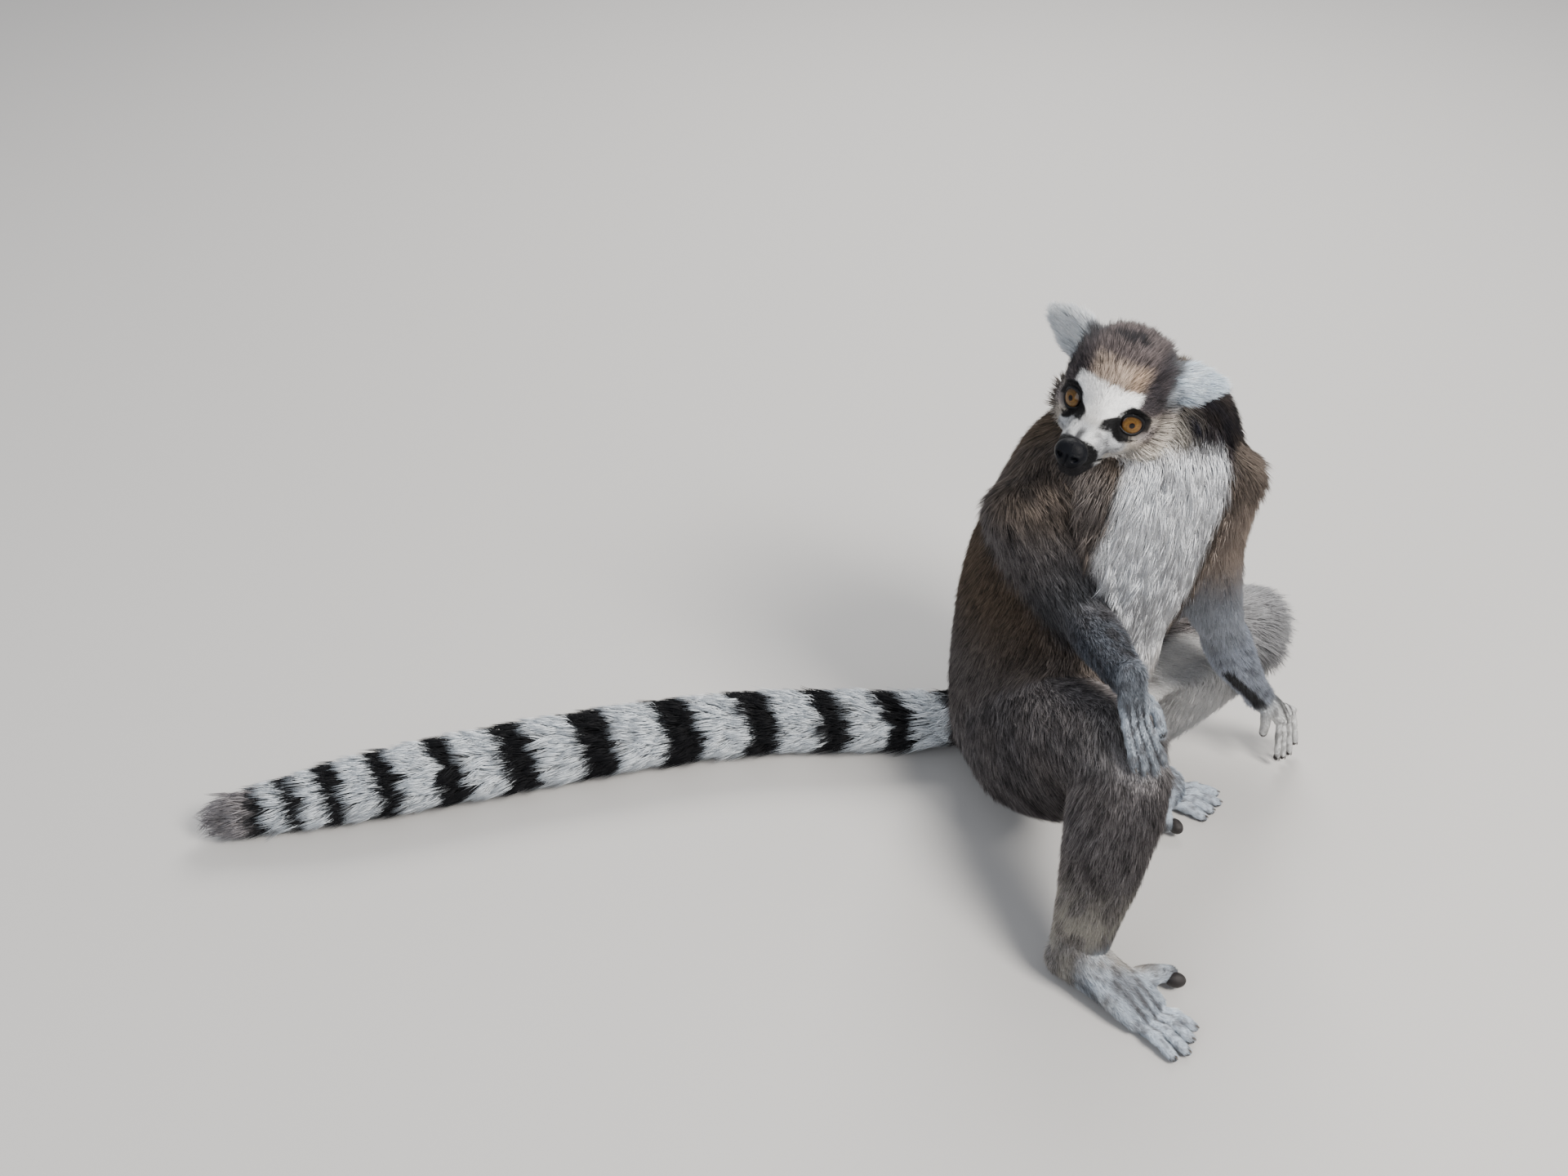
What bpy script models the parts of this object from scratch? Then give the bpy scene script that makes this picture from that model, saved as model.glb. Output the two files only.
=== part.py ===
"""Ring-tailed lemur (Lemur catta) sitting on the ground, a life-size still model.

Metres, +Z up. The model rests on z = 0 and the middle of its footprint is the origin. The tail runs out
along -X. Sizes are those of the coat's outer surface.

The body is laid out from named joints of the skeleton, given from the point of the floor under the
pelvis. Each length of the body is a tube of ellipses lofted along a smooth curve through those joints.
The head is a union of rounded forms in a frame of its own. A piece is cut by the pieces that were made
before it, with a fine gap, and everything is cut flat at the floor.
"""
import math

import bmesh
import bpy
from mathutils import Matrix, Vector

GAP = 0.0004                # kept between neighbouring pieces
MIDDLE = Vector((0.1836, 0.0716, 0.0))    # brings the footprint's middle to the origin

# Directions of the body in plan: to the animal's left across the hips and across the shoulders.
HIPS_LEFT = Vector((0.44, 0.90, 0.0)).normalized()
SHOULDERS_LEFT = Vector((0.95, 0.30, 0.0)).normalized()
UP = Vector((0.0, 0.0, 1.0))

# The head's frame: the middle between the pupils, and its forward, left and up directions.
BETWEEN_PUPILS = Vector((0.018, -0.022, 0.316))
HEAD_FORWARD = Vector((-0.486, -0.846, 0.220)).normalized()
HEAD_LEFT = Vector((0.836, -0.524, -0.166))
HEAD_LEFT = (HEAD_LEFT - HEAD_LEFT.dot(HEAD_FORWARD) * HEAD_FORWARD).normalized()
HEAD_UP = HEAD_FORWARD.cross(HEAD_LEFT)

EYE_RADIUS = 0.0081
PUPIL_ASIDE = 0.0205        # from the middle of the face to each pupil
GAZE_ANGLE = math.radians(27.0)

# Joints of the right side, then of the left side.
HIP_R = Vector((-0.012, -0.016, 0.056))
KNEE_R = Vector((0.040, -0.118, 0.138))
ANKLE_R = Vector((0.010, -0.178, 0.028))
TOES_R = Vector((0.056, -0.221, 0.010))
SHOULDER_R = Vector((-0.012, 0.004, 0.236))
ELBOW_R = Vector((0.019, -0.036, 0.178))
WRIST_R = Vector((0.036, -0.117, 0.186))
HIP_L = Vector((0.040, 0.045, 0.060))
KNEE_L = Vector((0.168, 0.062, 0.094))
ANKLE_L = Vector((0.060, -0.002, 0.027))
TOES_L = Vector((0.109, -0.021, 0.009))
SHOULDER_L = Vector((0.106, 0.022, 0.246))
ELBOW_L = Vector((0.116, -0.002, 0.148))
WRIST_L = Vector((0.166, 0.022, 0.058))

TAIL_ROOT = Vector((-0.030, 0.042, 0.028))
TAIL_LENGTHS = 6
TAIL_PATH = (                # centre of the tail and its half width and half height
    (TAIL_ROOT, 0.022, 0.022),
    (Vector((-0.080, 0.040, 0.0235)), 0.024, 0.0240),
    (Vector((-0.200, 0.036, 0.0240)), 0.026, 0.0245),
    (Vector((-0.330, 0.007, 0.0245)), 0.028, 0.0250),
    (Vector((-0.450, -0.028, 0.0235)), 0.027, 0.0240),
    (Vector((-0.545, -0.054, 0.0180)), 0.017, 0.0185),
)

GREY_BROWN = (0.230, 0.195, 0.165)
GREY = (0.300, 0.290, 0.280)
PALE = (0.620, 0.610, 0.590)
WHITE = (0.760, 0.740, 0.700)
BLACK = (0.020, 0.019, 0.018)
AMBER = (0.520, 0.240, 0.040)


def material(name, colour, roughness):
    """A plain surface of one colour."""
    made = bpy.data.materials.get(name) or bpy.data.materials.new(name)
    made.use_nodes = True
    shader = made.node_tree.nodes["Principled BSDF"]
    shader.inputs["Base Color"].default_value = (*colour, 1.0)
    shader.inputs["Roughness"].default_value = roughness
    shader.inputs["Metallic"].default_value = 0.0
    return made


def curve_through(stations, steps):
    """Catmull-Rom points between stations of (point, half width, half depth)."""
    rows = [(*point, width, depth) for point, width, depth in stations]
    rows = [rows[0]] + rows + [rows[-1]]
    out = []
    for i in range(1, len(rows) - 2):
        before, start, end, after = rows[i - 1:i + 3]
        for step in range(steps):
            t = step / steps
            out.append([
                0.5 * (2 * b + (c - a) * t + (2 * a - 5 * b + 4 * c - d) * t * t
                       + (3 * b - a - 3 * c + d) * t ** 3)
                for a, b, c, d in zip(before, start, end, after)])
    out.append(list(rows[-2]))
    return [(Vector(row[:3]), row[3], row[4]) for row in out]


def tube(stations, across, sides=14, steps=2, domes=(0.012, 0.012), bend=(66.0, 36.0)):
    """A closed mesh of ellipses along a smooth curve, with a dome of the given length at each end.

    across holds the direction of the half widths at the start and at the end, and bend the
    angles up a dome, in degrees, that have an ellipse of their own. A flat end has none.
    """
    points = curve_through(stations, steps)
    last = len(points) - 1
    rings = []
    for i, (centre, width, depth) in enumerate(points):
        along = (points[min(i + 1, last)][0] - points[max(i - 1, 0)][0]).normalized()
        side = across[0].lerp(across[1], i / last)
        side = (side - side.dot(along) * along).normalized()
        rings.append((centre, along, side, along.cross(side), width, depth))

    def dome(ring, length, sign):
        centre, along, side, front, width, depth = ring
        out = []
        for angle in map(math.radians, bend if length > 0.001 else ()):
            shrink = math.cos(angle)
            offset = along * (sign * length * math.sin(angle))
            out.append((centre + offset, along, side, front, width * shrink, depth * shrink))
        return out

    tips = (rings[0][0] - rings[0][1] * domes[0], rings[-1][0] + rings[-1][1] * domes[1])
    rings = dome(rings[0], domes[0], -1) + rings + dome(rings[-1], domes[1], 1)[::-1]
    mesh = bmesh.new()
    loops = []
    for centre, _, side, front, width, depth in rings:
        loops.append([
            mesh.verts.new(centre + side * (width * math.cos(turn)) + front * (depth * math.sin(turn)))
            for turn in (2 * math.pi * k / sides for k in range(sides))])
    for low, high in zip(loops, loops[1:]):
        for k in range(sides):
            n = (k + 1) % sides
            mesh.faces.new((low[k], low[n], high[n], high[k]))
    for loop, tip, flip in ((loops[0], tips[0], True), (loops[-1], tips[1], False)):
        pole = mesh.verts.new(tip)
        for k in range(sides):
            pair = (loop[k], loop[(k + 1) % sides])
            mesh.faces.new((*(reversed(pair) if flip else pair), pole))
    bmesh.ops.recalc_face_normals(mesh, faces=mesh.faces)
    return mesh


def ellipsoid(centre, radii, frame, segments=16, rings=10):
    """A closed ellipsoid with its radii along the columns of the frame."""
    mesh = bmesh.new()
    bmesh.ops.create_uvsphere(mesh, u_segments=segments, v_segments=rings, radius=1.0)
    place = Matrix.Translation(centre) @ frame.to_4x4() @ Matrix.Diagonal((*radii, 1.0))
    bmesh.ops.transform(mesh, matrix=place, verts=mesh.verts)
    return mesh


def add_object(name, mesh, surface=None):
    """Turns a bmesh into an object of the scene."""
    data = bpy.data.meshes.new(name)
    mesh.to_mesh(data)
    mesh.free()
    made = bpy.data.objects.new(name, data)
    bpy.context.scene.collection.objects.link(made)
    if surface:
        data.materials.append(surface)
    return made


def settle(made):
    """Replaces an object's mesh by what its modifiers make of it."""
    bpy.context.view_layer.update()
    shaped = bpy.data.meshes.new_from_object(made.evaluated_get(bpy.context.evaluated_depsgraph_get()))
    old = made.data
    made.modifiers.clear()
    made.data = shaped
    bpy.data.meshes.remove(old)


def boolean(made, other, operation, crossed=False):
    """Joins or cuts with another object, whose faces may have crossed each other as it was swollen."""
    modifier = made.modifiers.new(operation.lower(), "BOOLEAN")
    modifier.operation = operation
    modifier.solver = "EXACT"
    modifier.use_self = crossed
    modifier.object = other
    settle(made)


def remove(made):
    data = made.data
    bpy.data.objects.remove(made)
    bpy.data.meshes.remove(data)


def keep_largest(made):
    """Drops the crumbs that a cut leaves beside the main body, and welds its finest edges."""
    mesh = bmesh.new()
    mesh.from_mesh(made.data)
    bmesh.ops.remove_doubles(mesh, verts=mesh.verts, dist=0.00002)
    bmesh.ops.dissolve_degenerate(mesh, dist=0.00002, edges=mesh.edges)
    left, bodies = set(mesh.verts), []
    while left:
        body, front = set(), [left.pop()]
        while front:
            vert = front.pop()
            body.add(vert)
            for edge in vert.link_edges:
                near = edge.other_vert(vert)
                if near in left:
                    left.discard(near)
                    front.append(near)
        bodies.append(body)
    bodies.sort(key=len, reverse=True)
    crumbs = [vert for body in bodies[1:] for vert in body]
    bmesh.ops.delete(mesh, geom=crumbs, context="VERTS")
    bmesh.ops.triangulate(mesh, faces=mesh.faces)
    mesh.to_mesh(made.data)
    mesh.free()


def bounds(made):
    spots = [vert.co for vert in made.data.vertices]
    return [(min(s[i] for s in spots) - 0.001, max(s[i] for s in spots) + 0.001) for i in range(3)]


def near(one, other):
    return all(a[0] < b[1] and b[0] < a[1] for a, b in zip(bounds(one), bounds(other)))


def inflated(made):
    """A copy of a piece, larger by the gap on every side, to cut its neighbours with."""
    copy = made.copy()
    copy.data = made.data.copy()
    bpy.context.scene.collection.objects.link(copy)
    swell = copy.modifiers.new("swell", "DISPLACE")
    swell.strength = GAP
    swell.mid_level = 0.0
    settle(copy)
    return copy


class Model:
    """The pieces so far, each clear of the others and of the floor."""

    def __init__(self):
        self.pieces = []
        floor = bmesh.new()
        bmesh.ops.create_cube(floor, size=1.0)
        bmesh.ops.scale(floor, vec=(1.4, 1.0, 0.2), verts=floor.verts)
        bmesh.ops.translate(floor, vec=(-0.2, 0.0, -0.1), verts=floor.verts)
        self.floor = add_object("floor_cutter", floor)

    def add(self, name, meshes, surface):
        made = add_object(name, meshes[0], surface)
        for extra in meshes[1:]:
            other = add_object("form", extra)
            boolean(made, other, "UNION")
            remove(other)
        self.fit(made)
        return made

    def fit(self, made):
        if bounds(made)[2][0] < 0.001:
            boolean(made, self.floor, "DIFFERENCE")
        for piece in self.pieces:
            if near(made, piece):
                cutter = inflated(piece)
                boolean(made, cutter, "DIFFERENCE", crossed=piece.name == "head")
                remove(cutter)
        keep_largest(made)
        self.pieces.append(made)

    def finish(self):
        remove(self.floor)
        for made in self.pieces:
            made.data.transform(Matrix.Translation(MIDDLE))
            middle = sum((vert.co for vert in made.data.vertices), Vector()) / len(made.data.vertices)
            made.data.transform(Matrix.Translation(-middle))
            made.location = middle
            made.data.shade_smooth()
            made.data.set_sharp_from_angle(angle=math.radians(50.0))


def in_head(forward, left, up):
    """A point of the head's frame, given in millimetres from between the pupils."""
    return BETWEEN_PUPILS + (HEAD_FORWARD * forward + HEAD_LEFT * left + HEAD_UP * up) / 1000.0


def head_frame():
    return Matrix((HEAD_FORWARD, HEAD_LEFT, HEAD_UP)).transposed()


def gaze(side):
    return HEAD_FORWARD * math.cos(GAZE_ANGLE) + HEAD_LEFT * (side * math.sin(GAZE_ANGLE))


def pupil(side):
    return BETWEEN_PUPILS + HEAD_LEFT * (side * PUPIL_ASIDE)


def socket(side):
    """The hollow in front of an eye, that bares it between the lids."""
    ahead = gaze(side)
    frame = Matrix((ahead, HEAD_UP.cross(ahead), HEAD_UP)).transposed()
    return ellipsoid(pupil(side) + ahead * 0.0035, (0.0075, 0.0105, 0.0092), frame, 16, 12)


def head_forms():
    """Skull, face, cheeks, brows, muzzle and jaw, as centres and radii in millimetres."""
    frame = head_frame()
    forms = [
        ((-25, 0, 11), (33, 33, 33)),        # skull
        ((-11, 0, 0), (16, 29, 24)),         # face
        ((-1, 0, 8), (10, 10, 16)),          # forehead between the eyes
        ((-18, 0, -17), (22, 25, 16)),       # throat and angle of the jaw
    ]
    for side in (1, -1):
        forms += [
            ((-21, 20 * side, -8), (21, 18, 19)),    # cheek
            ((-7, 18 * side, 11), (10, 13, 9)),      # brow
            ((-2, 14 * side, -12), (13, 11, 9)),     # under the eye
        ]
    meshes = [
        ellipsoid(in_head(*centre), [radius / 1000.0 for radius in radii], frame, 24, 16)
        for centre, radii in forms]
    muzzle = [
        (in_head(-6, 0, -8), 0.0195, 0.0170),
        (in_head(10, 0, -13), 0.0155, 0.0145),
        (in_head(22, 0, -18), 0.0130, 0.0125),
        (in_head(31, 0, -21), 0.0110, 0.0105),
    ]
    jaw = [
        (in_head(-12, 0, -22), 0.0160, 0.0100),
        (in_head(10, 0, -28), 0.0110, 0.0075),
        (in_head(25, 0, -30), 0.0085, 0.0060),
    ]
    for stations in (muzzle, jaw):
        meshes.append(tube(stations, (HEAD_LEFT, HEAD_LEFT), sides=20, steps=3, domes=(0.006, 0.005)))
    return meshes


def blended(name, meshes, surface, voxel, smoothing, keep):
    """Rounded forms run together into one skin, thinned to a share of its faces."""
    whole = bmesh.new()
    for mesh in meshes:
        part = bpy.data.meshes.new("form")
        mesh.to_mesh(part)
        mesh.free()
        whole.from_mesh(part)
        bpy.data.meshes.remove(part)
    made = add_object(name, whole, surface)
    remesh = made.modifiers.new("blend", "REMESH")
    remesh.mode = "VOXEL"
    remesh.voxel_size = voxel
    smooth = made.modifiers.new("smooth", "SMOOTH")
    smooth.factor = 0.6
    smooth.iterations = smoothing
    thin = made.modifiers.new("thin", "DECIMATE")
    thin.ratio = keep
    settle(made)
    return made


def ear(side):
    """A pointed leaf of an ear, hollow at its front."""
    base, middle, tip = in_head(-28, 26 * side, 22), in_head(-30, 40 * side, 30), in_head(-31, 59 * side, 36)
    facing = (HEAD_FORWARD + HEAD_LEFT * (0.35 * side)).normalized()
    across = (tip - base).normalized().cross(facing)
    leaf = tube(
        [(base, 0.0150, 0.0080), (middle, 0.0155, 0.0070), (base.lerp(tip, 0.84), 0.0085, 0.0050)],
        (across, across), sides=12, steps=2, domes=(0.006, 0.006))
    frame = Matrix((tip - base, across, facing)).transposed()
    frame = Matrix([list(row) for row in frame])
    frame.col[0] = (tip - base).normalized()
    hollow = ellipsoid(middle + facing * 0.0080, (0.0150, 0.0095, 0.0070), frame, 12, 8)
    return leaf, hollow


def digits(root, reach, across, count, spread, length, radius, drop, lift=0.0):
    """Fingers or toes side by side, from a root, along the reach and down by the drop."""
    out = []
    for k in range(count):
        place = (k - (count - 1) / 2) / max(count - 1, 1)
        heading = (reach + across * (place * spread)).normalized()
        long = length * (1.0 - 0.35 * abs(place - 0.08))
        start = root + across * (place * radius * 1.45 * (count - 1))
        mid = start + heading * (long * 0.5) + UP * lift
        end = start + heading * long - UP * drop
        stations = [(start, radius, radius), (mid, radius, radius * 0.95), (end, radius * 0.86, radius * 0.8)]
        out.append(tube(stations, (across, across), sides=7, steps=1, domes=(radius, radius), bend=(50.0,)))
    return out


def build():
    for old in list(bpy.data.objects):
        bpy.data.objects.remove(old)
    coat = material("coat_back", GREY_BROWN, 0.9)
    legs = material("coat_legs", GREY, 0.9)
    pale = material("coat_pale", PALE, 0.9)
    white = material("coat_white", WHITE, 0.9)
    black = material("coat_black", BLACK, 0.8)
    nose_skin = material("nose_skin", BLACK, 0.35)
    iris = material("iris", AMBER, 0.1)
    model = Model()

    # Eyes and nose come first, so that the head is shaped round them.
    for name, side in (("eye_l", 1), ("eye_r", -1)):
        model.add(name, [ellipsoid(pupil(side) - gaze(side) * EYE_RADIUS, [EYE_RADIUS] * 3, head_frame(), 12, 8)], iris)
    model.add("nose", [ellipsoid(in_head(34.5, 0, -16.5), (0.0065, 0.0082, 0.0066), head_frame(), 12, 8)],
              nose_skin)
    head = blended("head", head_forms(), pale, 0.0015, 4, 0.017)
    for side in (1, -1):
        hollow = add_object("socket", socket(side))
        boolean(head, hollow, "DIFFERENCE")
        remove(hollow)
    model.fit(head)

    # Trunk and neck.
    model.add("trunk", [tube([
        (Vector((0.010, 0.010, 0.010)), 0.050, 0.050),
        (Vector((0.010, 0.012, 0.035)), 0.062, 0.065),
        (Vector((0.010, 0.015, 0.075)), 0.065, 0.071),
        (Vector((0.014, 0.021, 0.120)), 0.069, 0.074),
        (Vector((0.022, 0.030, 0.160)), 0.074, 0.075),
        (Vector((0.040, 0.031, 0.205)), 0.081, 0.074),
        (Vector((0.056, 0.031, 0.247)), 0.083, 0.064),
        (Vector((0.063, 0.034, 0.275)), 0.066, 0.050),
    ], (HIPS_LEFT, SHOULDERS_LEFT), sides=16, steps=2, domes=(0.014, 0.018))], coat)
    model.add("neck", [tube([
        (Vector((0.068, 0.036, 0.262)), 0.062, 0.050),
        (Vector((0.066, 0.032, 0.281)), 0.050, 0.042),
        (Vector((0.050, 0.022, 0.298)), 0.036, 0.034),
    ], (SHOULDERS_LEFT, SHOULDERS_LEFT), sides=14, steps=2, domes=(0.010, 0.006))], legs)

    # Right leg: the knee is drawn up in front and the foot is flat on the ground.
    model.add("thigh_r", [tube([
        (HIP_R, 0.052, 0.042),
        (Vector((0.002, -0.052, 0.082)), 0.057, 0.042),
        (Vector((0.022, -0.088, 0.113)), 0.048, 0.039),
        (KNEE_R, 0.033, 0.033),
    ], (UP, UP), sides=16, steps=2, domes=(0.026, 0.018))], legs)
    model.add("shank_r", [tube([
        (KNEE_R + Vector((0.0, -0.004, -0.006)), 0.030, 0.032),
        (Vector((0.032, -0.141, 0.105)), 0.030, 0.034),
        (Vector((0.022, -0.163, 0.065)), 0.023, 0.027),
        (ANKLE_R + Vector((0.002, 0.0, 0.006)), 0.018, 0.020),
    ], (HIPS_LEFT, HIPS_LEFT), sides=14, steps=2, domes=(0.010, 0.008))], legs)

    # Left leg: the knee lies out to the side and the foot is tucked behind the right shank.
    model.add("thigh_l", [tube([
        (HIP_L, 0.045, 0.042),
        (Vector((0.090, 0.058, 0.076)), 0.043, 0.037),
        (Vector((0.138, 0.064, 0.088)), 0.038, 0.035),
        (KNEE_L, 0.031, 0.030),
    ], (UP, UP), sides=14, steps=2, domes=(0.020, 0.020))], legs)
    model.add("shank_l", [tube([
        (KNEE_L + Vector((-0.002, -0.004, -0.004)), 0.026, 0.027),
        (Vector((0.135, 0.038, 0.070)), 0.028, 0.024),
        (Vector((0.097, 0.016, 0.046)), 0.020, 0.019),
        (ANKLE_L + Vector((0.002, 0.001, 0.004)), 0.015, 0.015),
    ], (UP, UP), sides=14, steps=2, domes=(0.008, 0.006))], legs)

    # Feet: the sole, four toes and the great toe that stands off to the inner side.
    for name, ankle, toes, inner, surface in (
            ("foot_r", ANKLE_R, TOES_R, 1, pale), ("foot_l", ANKLE_L, TOES_L, -1, pale)):
        reach = (toes - ankle) * Vector((1.0, 1.0, 0.0))
        reach.normalize()
        across = UP.cross(reach)
        heel = ankle - reach * 0.010 - UP * (ankle.z - 0.012)
        sole = tube([
            (heel, 0.0125, 0.0130),
            (heel + reach * 0.026 + UP * 0.003, 0.0150, 0.0135),
            (heel + reach * 0.052 - UP * 0.001, 0.0175, 0.0100),
            (toes - UP * 0.003, 0.0175, 0.0075),
        ], (across, across), sides=10, steps=1, domes=(0.009, 0.006))
        toe_root = toes - reach * 0.002 - UP * 0.0045
        pieces = [sole] + digits(toe_root, reach, across, 4, 0.22, 0.025, 0.0042, 0.0010, 0.0015)
        thumb_root = heel + reach * 0.048 + across * (0.010 * inner) - UP * 0.004
        aside = (across * inner + reach * 0.35).normalized()
        pieces.append(tube([
            (thumb_root, 0.0075, 0.0070),
            (thumb_root + aside * 0.016 + UP * 0.001, 0.0058, 0.0056),
            (thumb_root + aside * 0.030, 0.0062, 0.0056),
        ], (reach, reach), sides=8, steps=2, domes=(0.004, 0.005), bend=(50.0,)))
        model.add(name, pieces, surface)

    # Right arm: the forearm lies on the thigh and the hand hangs over the knee.
    model.add("upper_arm_r", [tube([
        (SHOULDER_R, 0.040, 0.040),
        (Vector((0.002, -0.016, 0.206)), 0.032, 0.032),
        (ELBOW_R, 0.021, 0.022),
    ], (SHOULDERS_LEFT, SHOULDERS_LEFT), sides=12, steps=2, domes=(0.026, 0.014))], coat)
    model.add("forearm_r", [tube([
        (ELBOW_R + Vector((0.0, -0.004, 0.0)), 0.018, 0.020),
        (ELBOW_R.lerp(WRIST_R, 0.45), 0.017, 0.018),
        (WRIST_R, 0.0115, 0.0115),
    ], (SHOULDERS_LEFT, SHOULDERS_LEFT), sides=10, steps=2, domes=(0.010, 0.004))], pale)
    hand_reach = Vector((0.06, -0.70, -0.60)).normalized()
    hand_across = SHOULDERS_LEFT
    knuckles = WRIST_R + hand_reach * 0.024
    model.add("hand_r", [
        tube([(WRIST_R, 0.0105, 0.0090), (WRIST_R + hand_reach * 0.012, 0.0118, 0.0085), (knuckles, 0.0118, 0.0070)],
             (hand_across, hand_across), sides=12, steps=1, domes=(0.004, 0.004)),
        *digits(knuckles, Vector((0.34, -0.34, -0.87)).normalized(), hand_across, 4, 0.18, 0.031, 0.0034, 0.002),
        tube([(WRIST_R + hand_reach * 0.012 + hand_across * 0.008, 0.0048, 0.0048),
              (WRIST_R + hand_reach * 0.028 + hand_across * 0.018, 0.0040, 0.0040)],
             (hand_across.cross(hand_reach), hand_across.cross(hand_reach)), sides=7, steps=2,
             domes=(0.004, 0.004), bend=(50.0,)),
    ], pale)

    # Left arm: it hangs in front of the left knee and the fingers reach the ground.
    model.add("upper_arm_l", [tube([
        (SHOULDER_L, 0.036, 0.038),
        (Vector((0.104, 0.008, 0.200)), 0.027, 0.029),
        (ELBOW_L, 0.020, 0.021),
    ], (SHOULDERS_LEFT, SHOULDERS_LEFT), sides=12, steps=2, domes=(0.028, 0.012))], coat)
    model.add("forearm_l", [tube([
        (ELBOW_L + Vector((0.002, 0.0, -0.004)), 0.018, 0.019),
        (Vector((0.133, 0.003, 0.112)), 0.017, 0.017),
        (Vector((0.151, 0.013, 0.082)), 0.0125, 0.0120),
        (WRIST_L, 0.0105, 0.0095),
    ], (SHOULDERS_LEFT, SHOULDERS_LEFT), sides=10, steps=2, domes=(0.008, 0.003))], pale)
    hang = Vector((0.74, 0.10, -0.66)).normalized()
    palm_across = Vector((0.30, 0.95, 0.0)).normalized()
    palm_end = WRIST_L + hang * 0.028
    model.add("hand_l", [
        tube([(WRIST_L, 0.0095, 0.0080), (WRIST_L + hang * 0.011, 0.0115, 0.0078), (palm_end, 0.0115, 0.0068)],
             (palm_across, palm_across), sides=12, steps=1, domes=(0.004, 0.004)),
        *digits(palm_end, Vector((0.16, -0.06, -0.98)).normalized(), palm_across, 4, 0.16, 0.036, 0.0034, 0.0),
        tube([(WRIST_L + hang * 0.006 - palm_across * 0.007, 0.0044, 0.0044),
              (WRIST_L + hang * 0.008 - palm_across * 0.009 - UP * 0.017, 0.0038, 0.0038)],
             (palm_across, palm_across), sides=6, steps=2, domes=(0.004, 0.004), bend=(50.0,)),
    ], pale)

    # Ears, hollowed at the front.
    for name, side in (("ear_l", 1), ("ear_r", -1)):
        leaf, hollow = ear(side)
        scoop = add_object("scoop", hollow)
        shell = add_object(name, leaf, white)
        boolean(shell, scoop, "DIFFERENCE")
        remove(scoop)
        model.fit(shell)

    # Tail: lengths of one tube along the ground, each cut square from the next.
    path = curve_through(TAIL_PATH, 4)
    count = len(path) - 1
    across = Vector((0.0, 1.0, 0.0))
    for k in range(TAIL_LENGTHS):
        first, final = round(k * count / TAIL_LENGTHS), round((k + 1) * count / TAIL_LENGTHS)
        run = path[first:final + 1]
        domes = [0.0002, 0.0002]
        heading = (run[1][0] - run[0][0]).normalized()
        if k:
            run[0] = (run[0][0] + heading * 0.0006, run[0][1], run[0][2])
        if k == TAIL_LENGTHS - 1:
            domes[1] = 0.020
        model.add(f"tail_{k + 1}", [tube(run, (across, across), sides=12, steps=1, domes=domes)],
                  white if k % 2 else black)
    model.finish()


build()
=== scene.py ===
"""Looks of the sitting ring-tailed lemur: skin, coat, eyes, nose, nails, floor, light and camera."""
import math
from collections import namedtuple

import bpy
import numpy as np
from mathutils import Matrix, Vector
from mathutils.kdtree import KDTree


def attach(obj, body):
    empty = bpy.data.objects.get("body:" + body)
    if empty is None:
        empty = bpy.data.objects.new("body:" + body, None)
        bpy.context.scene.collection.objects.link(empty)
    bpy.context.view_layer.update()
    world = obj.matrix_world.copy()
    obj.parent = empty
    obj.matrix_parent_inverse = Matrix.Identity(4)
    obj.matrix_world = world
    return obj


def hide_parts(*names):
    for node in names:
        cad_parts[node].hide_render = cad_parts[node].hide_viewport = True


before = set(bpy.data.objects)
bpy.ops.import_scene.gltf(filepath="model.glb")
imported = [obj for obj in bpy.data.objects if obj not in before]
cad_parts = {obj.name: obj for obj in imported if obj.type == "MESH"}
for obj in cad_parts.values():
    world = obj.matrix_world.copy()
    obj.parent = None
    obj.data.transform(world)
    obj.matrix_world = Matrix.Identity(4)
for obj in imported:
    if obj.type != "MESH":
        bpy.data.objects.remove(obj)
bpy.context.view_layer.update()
RNG = np.random.default_rng(7)


def linked(name, data):
    """Data of any kind as an object of the scene, under one name."""
    data.name = name
    made = bpy.data.objects.new(name, data)
    bpy.context.scene.collection.objects.link(made)
    return made


# ---- the animal's landmarks
MIDDLE = np.array((0.1836, 0.0716, 0.0))


def at(x, y, z):
    """A place on the animal, in millimetres from its own origin."""
    return np.array((x, y, z)) / 1000.0 + MIDDLE


def unit(v):
    v = np.asarray(v, float)
    return v / np.maximum(np.linalg.norm(v, axis=-1, keepdims=True), 1e-12)


UP = np.array((0.0, 0.0, 1.0))
HIPS_LEFT = unit((0.44, 0.9, 0.0))
SHOULDERS_LEFT = unit((0.95, 0.3, 0.0))

PUPILS = at(18, -22, 316)
HEAD_F = unit((-0.486, -0.846, 0.22))
HEAD_L = np.array((0.836, -0.524, -0.166))
HEAD_L = unit(HEAD_L - HEAD_L.dot(HEAD_F) * HEAD_F)
HEAD_U = np.cross(HEAD_F, HEAD_L)
HEAD = np.stack((HEAD_F, HEAD_L, HEAD_U))
EYE_R = 0.0081
EYE_ASIDE = 20.5  # millimetres
GAZE = math.radians(27.0)


def in_head(f, l, u):
    return PUPILS + (HEAD_F * f + HEAD_L * l + HEAD_U * u) / 1000.0


def to_head(points):
    """Head coordinates in millimetres: forward, left and up from between the pupils."""
    return (points - PUPILS) @ HEAD.T * 1000.0


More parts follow.
